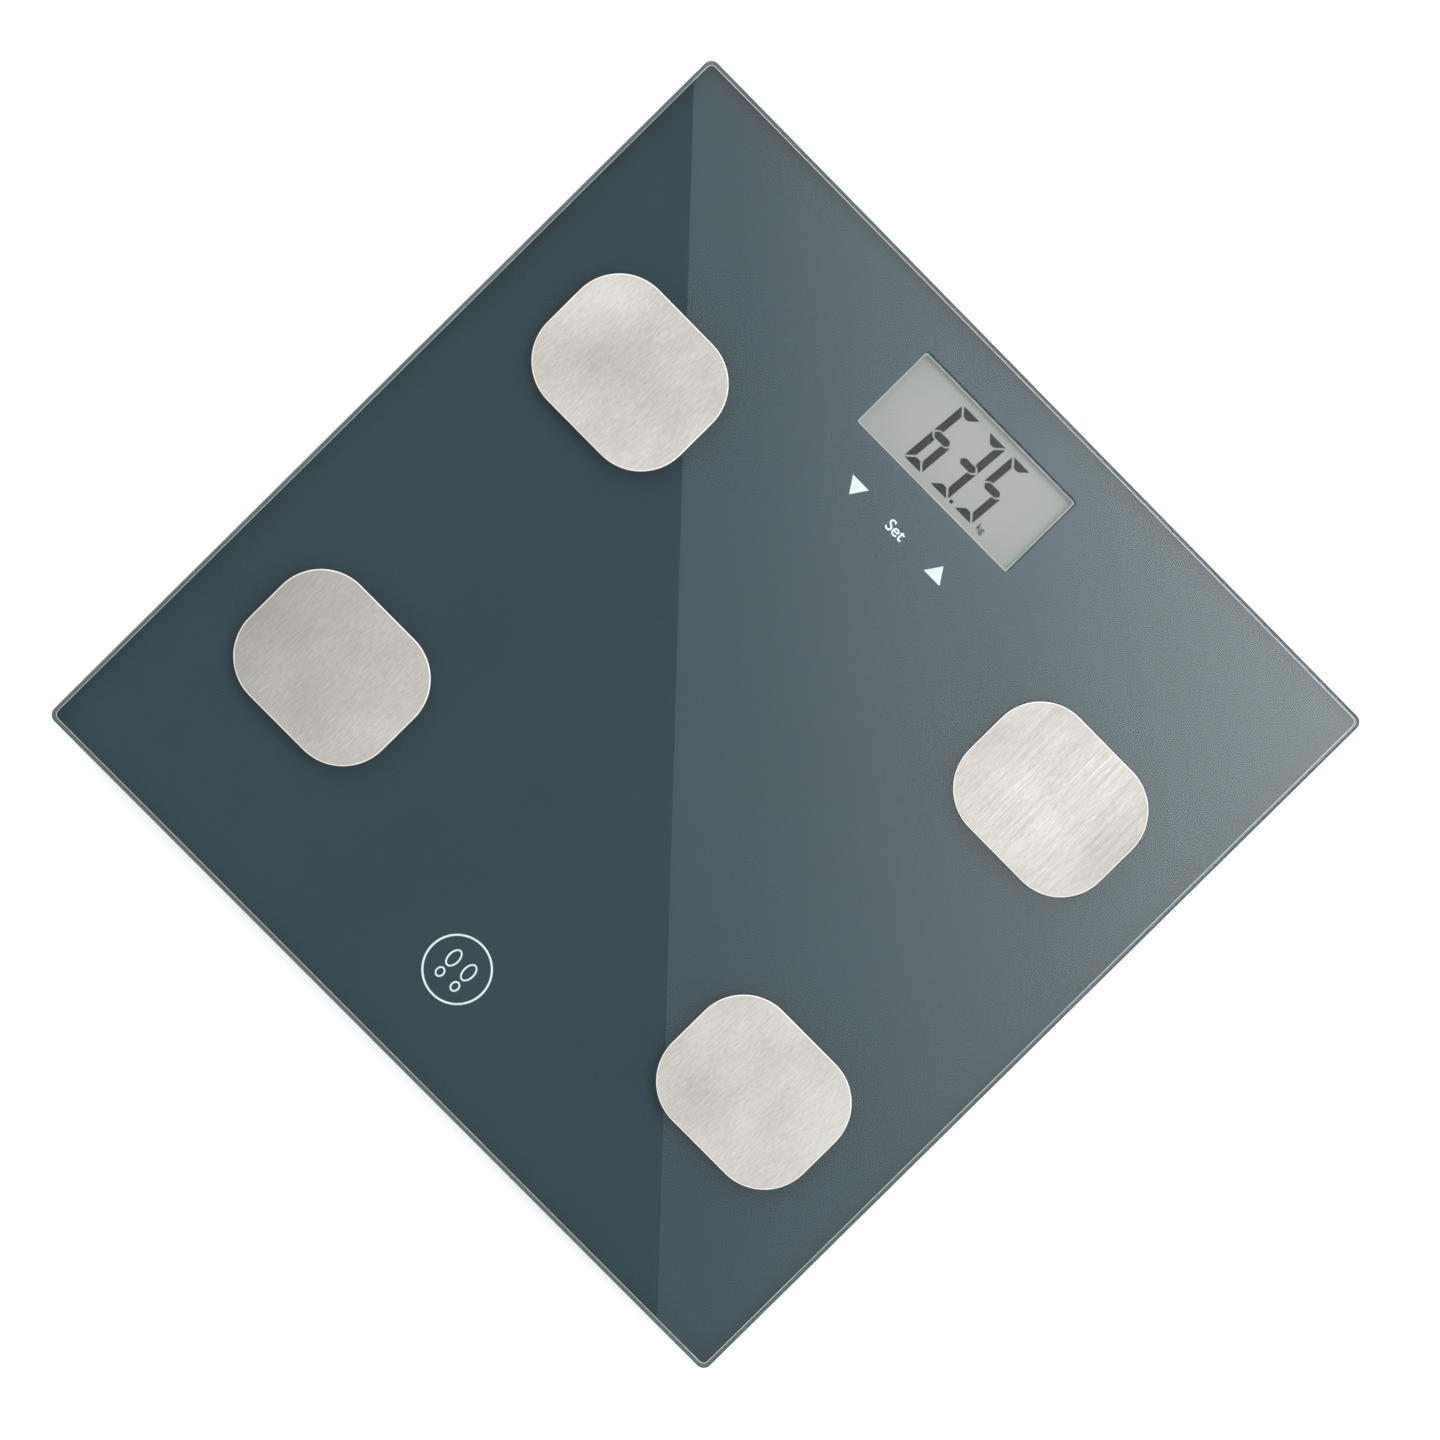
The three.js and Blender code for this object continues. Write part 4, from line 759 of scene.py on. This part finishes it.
# The unit button. A small moulded cap in a paler plastic, with a flange that keeps it in the cover
# and a post that reaches the switch on the board.
CAP_R, FLANGE_LOW, POST_R = 2.6, 5.6, 1.2
button_plastic = finish("button plastic", (0.30, 0.31, 0.32), (0.36, 0.37, 0.38), 2, (0.38, 0.52),
                        bump=0.008, bump_size=0.25)
low, high = box("unit_button")
flange = (high.x - low.x) / 2
bm = bmesh.new()
lathe(bm, [
    (0, low.z + 0.22), (0.9, low.z + 0.18), (1.7, low.z + 0.06), (2.05, low.z), (CAP_R - 0.2, low.z + 0.06),
    (CAP_R, low.z + 0.3), (CAP_R, FLANGE_LOW), (flange - 0.1, FLANGE_LOW - 0.04),
    (flange, FLANGE_LOW + 0.05), (flange, high.z - 0.33), (flange - 0.08, high.z - 0.25),
    (POST_R, high.z - 0.25), (POST_R, high.z - 0.05), (POST_R - 0.05, high.z), (0, high.z),
], button, 48)
cap = make("button_cap", bm, button_plastic)
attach(cap, "unit_button")
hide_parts("unit_button")

# The circuit board with its chip, switch, key springs and contact strip. A glass-cloth board under
# green solder resist, with copper tracks; the chip is a moulded block, the switch has a steel can,
# and coiled springs carry the touch keys up to the glass.
PER_M = 1000  # millimetres in a metre
board_paint, t, s = shader("board")
at = add(t, "ShaderNodeTexCoord").outputs["Object"]
at = add(t, "ShaderNodeMapping", {"Vector": at, "Scale": (PER_M, PER_M, 0)}).outputs[0]
tracks = add(t, "ShaderNodeTexBrick", {
    "Vector": at, "Color1": (0, 0, 0, 1), "Color2": (0.25, 0.25, 0.25, 1), "Mortar": (1, 1, 1, 1),
    "Scale": 1.0, "Mortar Size": 0.22, "Mortar Smooth": 0.3, "Bias": 0.0, "Brick Width": 11.0,
    "Row Height": 1.9,
}).outputs["Color"]
tracks = maths(t, "MULTIPLY", tracks, span(t, grain(t, 16, detail=1), 0, 1, 0.46, 0.52))
tones = ((0.0, (0.010, 0.075, 0.030)), (0.3, (0.014, 0.095, 0.038)), (0.9, (0.035, 0.19, 0.075)))
t.links.new(ramp(t, tracks, *tones), s.inputs["Base Color"])
roughness(t, s, grain(t, 1.5), 0.25, 0.4)
relief(t, s, tracks, 0.03, 0.8)
chip_resin = finish("chip resin", (0.018, 0.018, 0.019), (0.032, 0.032, 0.033), 0.8, (0.5, 0.68),
                    bump=0.01, bump_size=0.12)
spring_wire = finish("spring wire", (0.50, 0.49, 0.46), (0.66, 0.65, 0.61), 0.8, (0.2, 0.34),
                     metal=1.0, bump=0.003, bump_size=0.2)
BANDS_PER_M = 2500.0  # each dark or pale band of the contact strip is 0.4 mm wide
zebra, t, s = shader("contact strip")
at = add(t, "ShaderNodeSeparateXYZ", {0: add(t, "ShaderNodeTexCoord").outputs["Object"]}).outputs[0]
bands = maths(t, "PINGPONG", maths(t, "MULTIPLY", at, BANDS_PER_M), 1.0)
two_tones(t, s, bands, (0.02, 0.02, 0.022), (0.50, 0.46, 0.42), 0.45, 0.55)
roughness(t, s, grain(t, 0.8), 0.6, 0.8)
can = finish("switch can", (0.45, 0.45, 0.44), (0.62, 0.62, 0.60), 1.5, (0.28, 0.42), metal=1.0,
             bump=0.004, bump_size=0.3)
paint(board_paint, "circuit_board")
paint(chip_resin, "controller_chip")
paint(spring_wire, "touch_spring_down", "touch_spring_set", "touch_spring_up")
paint(zebra, "zebra_strip")
paint(can, "tact_switch")

SMALL_PARTS = ((-26, 84), (-22.5, 92), (26, 84), (30, 91), (-12, 92), (12, 92), (6.5, 81), (-8, 81))
LEGS, LEG_STEP, LEG_X = 8, 0.8, 4.1
board_low, board_high = box("circuit_board")
tin = finish("solder", (0.52, 0.53, 0.54), (0.70, 0.71, 0.72), 0.7, (0.22, 0.38), metal=1.0,
             bump=0.01, bump_size=0.3)
chip = middle("controller_chip")


def block(bm, w, d, h, at, material=0):
    """A small part standing on the board."""
    foot = outline(w, d, 0.1, at, 2)
    slab(bm, [(foot, board_high.z + 0.01), (foot, board_high.z + h)], material)


bm = bmesh.new()
for side in (-1, 1):
    for k in range(LEGS):
        y = chip[1] + LEG_STEP * (k - (LEGS - 1) / 2)
        block(bm, 1.5, 0.38, 0.2, (chip[0] + side * LEG_X, y))
for x, y in SMALL_PARTS:
    for end in (-1, 1):
        block(bm, 0.5, 1.25, 0.55, (x + end * 0.8, y))
    block(bm, 1.2, 1.15, 0.5, (x, y), material=1)
board_parts = make("board_parts", bm, tin, chip_resin)
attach(board_parts, "platform")

# The two cells and their contacts. Standard AAA cells in a printed plastic sleeve, dark with a
# coppery end, and plated spring-steel contacts that clip into the bay's walls.
CELL_HALF = 0.0223  # metres
TIN_LOW, TIN_HIGH = (0.60, 0.60, 0.58), (0.62, 0.62, 0.60)
BLACK_LOW, BLACK_HIGH = (0.020, 0.021, 0.023), (0.024, 0.025, 0.028)
COPPER_LOW, COPPER_HIGH = (0.52, 0.25, 0.10), (0.55, 0.27, 0.11)
for name, facing in (("rear", 1), ("front", -1)):
    sleeve, t, s = shader(f"sleeve {name}")
    along = add(t, "ShaderNodeSeparateXYZ", {0: add(t, "ShaderNodeTexCoord").outputs["Object"]}).outputs[0]
    along = span(t, along, 0, 1, -CELL_HALF * facing, CELL_HALF * facing)
    tones = (
        (0.0, TIN_LOW), (0.012, TIN_LOW), (0.016, BLACK_LOW), (0.70, BLACK_HIGH), (0.705, COPPER_LOW),
        (0.955, COPPER_HIGH), (0.96, TIN_HIGH), (1.0, TIN_HIGH),
    )
    t.links.new(ramp(t, along, *tones), s.inputs["Base Color"])
    roughness(t, s, grain(t, 4), 0.28, 0.42)
    shine = ((0.0, 1), (0.012, 1), (0.016, 0), (0.70, 0), (0.705, 0.7), (1.0, 1))
    t.links.new(ramp(t, along, *((at, (v, v, v)) for at, v in shine)), s.inputs["Metallic"])
    paint(sleeve, f"battery_cell_{name}")
contact = finish("contact plating", (0.55, 0.54, 0.50), (0.70, 0.69, 0.65), 1.5, (0.22, 0.36),
                 metal=1.0, bump=0.005, bump_size=0.4)
paint(contact, "battery_contact_bridge", "battery_contact_plus", "battery_contact_minus")

# The load cells and the electrodes' studs. Each cell is a pressed spring-steel plate with a tongue,
# and a strain gauge is glued on the tongue under a dab of white silicone. The studs are plated.
DAB = (6.4, 5.0, 1.2)  # width, depth and corner
DAB_AWAY = 5.2  # from the cell's middle toward the scale's
DAB_LEVELS = ((0, 0.01), (0.05, 0.2), (0.35, 0.34), (0.8, 0.4))  # how far in, and how high
cell_steel = finish("load cell steel", (0.42, 0.42, 0.41), (0.56, 0.56, 0.55), 2.5, (0.3, 0.46),
                    metal=1.0, bump=0.006, bump_size=0.4, stretch=(4, 1, 1))
silicone = finish("silicone", (0.72, 0.72, 0.69), (0.82, 0.82, 0.80), 1.5, (0.35, 0.55), bump=0.06,
                  bump_size=1.2)
for q in QUARTERS:
    paint(cell_steel, f"load_cell_{q}")
    paint(zinc, f"electrode_stud_{q}")
    high = box(f"load_cell_{q}")[1]
    at = middle(f"load_cell_{q}")
    at = (at[0] - math.copysign(DAB_AWAY, at[0]), at[1])
    w, d, r = DAB
    bm = bmesh.new()
    slab(bm, [(outline(w - 2 * i, d - 2 * i, r - i, at, 5), high.z + z) for i, z in DAB_LEVELS])
    dab = make(f"gauge_dab_{q}", bm, silicone)
    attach(dab, "platform")

# The leads and their clips. Thin stranded wires in coloured plastic: three side by side from each
# load cell and one from each electrode, soldered to the board and held by moulded clips.
def bent(points, radius, arc=8):
    """The way through the points with its corners rounded."""
    points = [Vector(p) for p in points]
    path = [points[0]]
    for a, b, c in zip(points, points[1:], points[2:]):
        into, out = b - a, c - b
        cut = min(radius * math.tan(into.angle(out) / 2), into.length / 2.1, out.length / 2.1)
        start, end = b - into.normalized() * cut, b + out.normalized() * cut
        for k in range(arc + 1):
            f = k / arc
            path.append(start * (1 - f) ** 2 + b * 2 * f * (1 - f) + end * f * f)
    return path + [points[-1]]


def tube(bm, path, r, aside=0.0, sides=10, material=0):
    """A round wire along the path, set off level to its left by aside."""
    rings = []
    angles = [2 * math.pi * k / sides for k in range(sides)]
    for i, p in enumerate(path):
        way = (path[min(i + 1, len(path) - 1)] - path[max(i - 1, 0)]).normalized()
        across = Vector((0, 0, 1)).cross(way).normalized()
        up = way.cross(across)
        places = [p + across * (aside + r * math.cos(a)) + up * r * math.sin(a) for a in angles]
        rings.append([bm.verts.new(place * MM) for place in places])
    for a, b in zip(rings, rings[1:]):
        walls(bm, a, b, material)
    for end in (rings[0], rings[-1]):
        bm.faces.new(end).material_index = material


LEAD_Z, LEAD_R, BEND_R = 13.45, 0.62, 8
CORE_R, CORE_STEP = 0.6, 1.2  # the three cores of a load cell's lead
WIRE_R = 0.68  # an electrode's wire
SOLDER_Y, DIP_Y = board_low.y + 2.5, board_low.y - 8  # its end on the board, and where it bends down
END_Z = board_high.z + LEAD_R + 0.3
sheath = {"rough": (0.35, 0.5), "bump": 0.01, "bump_size": 0.6}
red = finish("red sheath", (0.40, 0.028, 0.022), (0.52, 0.045, 0.034), 3, **sheath)
black = finish("black sheath", (0.018, 0.018, 0.019), (0.034, 0.034, 0.035), 3, **sheath)
white = finish("white sheath", (0.66, 0.66, 0.64), (0.78, 0.78, 0.76), 3, **sheath)
for q in QUARTERS:
    low, high = box(f"load_cell_lead_{q}")
    foot_x, foot_y = middle(f"load_cell_{q}")
    sx = math.copysign(1, foot_x)
    outer, inner = sorted((abs(low.x), abs(high.x)), reverse=True)
    if foot_y > 0:
        turn, end = (sx * (inner + 9), foot_y, LEAD_Z), (sx * inner, foot_y, END_Z)
        way = [(sx * outer, foot_y, LEAD_Z), turn, end]
    else:
        x = sx * (inner + 1.8)
        way = [(sx * outer, foot_y, LEAD_Z), (x, foot_y, LEAD_Z), (x, DIP_Y, LEAD_Z), (x, SOLDER_Y, END_Z)]
    bm = bmesh.new()
    path = bent(way, BEND_R)
    for k in (-1, 0, 1):
        tube(bm, path, CORE_R, aside=CORE_STEP * k, material=k + 1)
    lead = make(f"load_cell_wires_{q}", bm, red, white, black)
    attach(lead, "platform")
    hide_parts(f"load_cell_lead_{q}")

    low, high = box(f"electrode_lead_{q}")
    outer, inner = sorted((abs(low.x), abs(high.x)), reverse=True)
    x, stud_y = sx * (inner + 0.7), middle(f"electrode_stud_{q}")[1]
    way = [
        (sx * outer, stud_y, LEAD_Z), (x, stud_y, LEAD_Z), (x, DIP_Y, LEAD_Z),
        (x, SOLDER_Y, board_high.z + 0.95),
    ]
    bm = bmesh.new()
    tube(bm, bent(way, BEND_R), WIRE_R)
    lead = make(f"electrode_wire_{q}", bm, black)
    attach(lead, "platform")
    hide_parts(f"electrode_lead_{q}")
clip_plastic = finish("clip plastic", (0.60, 0.61, 0.60), (0.70, 0.71, 0.70), 3, (0.4, 0.55),
                      bump=0.01, bump_size=0.4)
paint(clip_plastic, "cable_clip_left", "cable_clip_right")
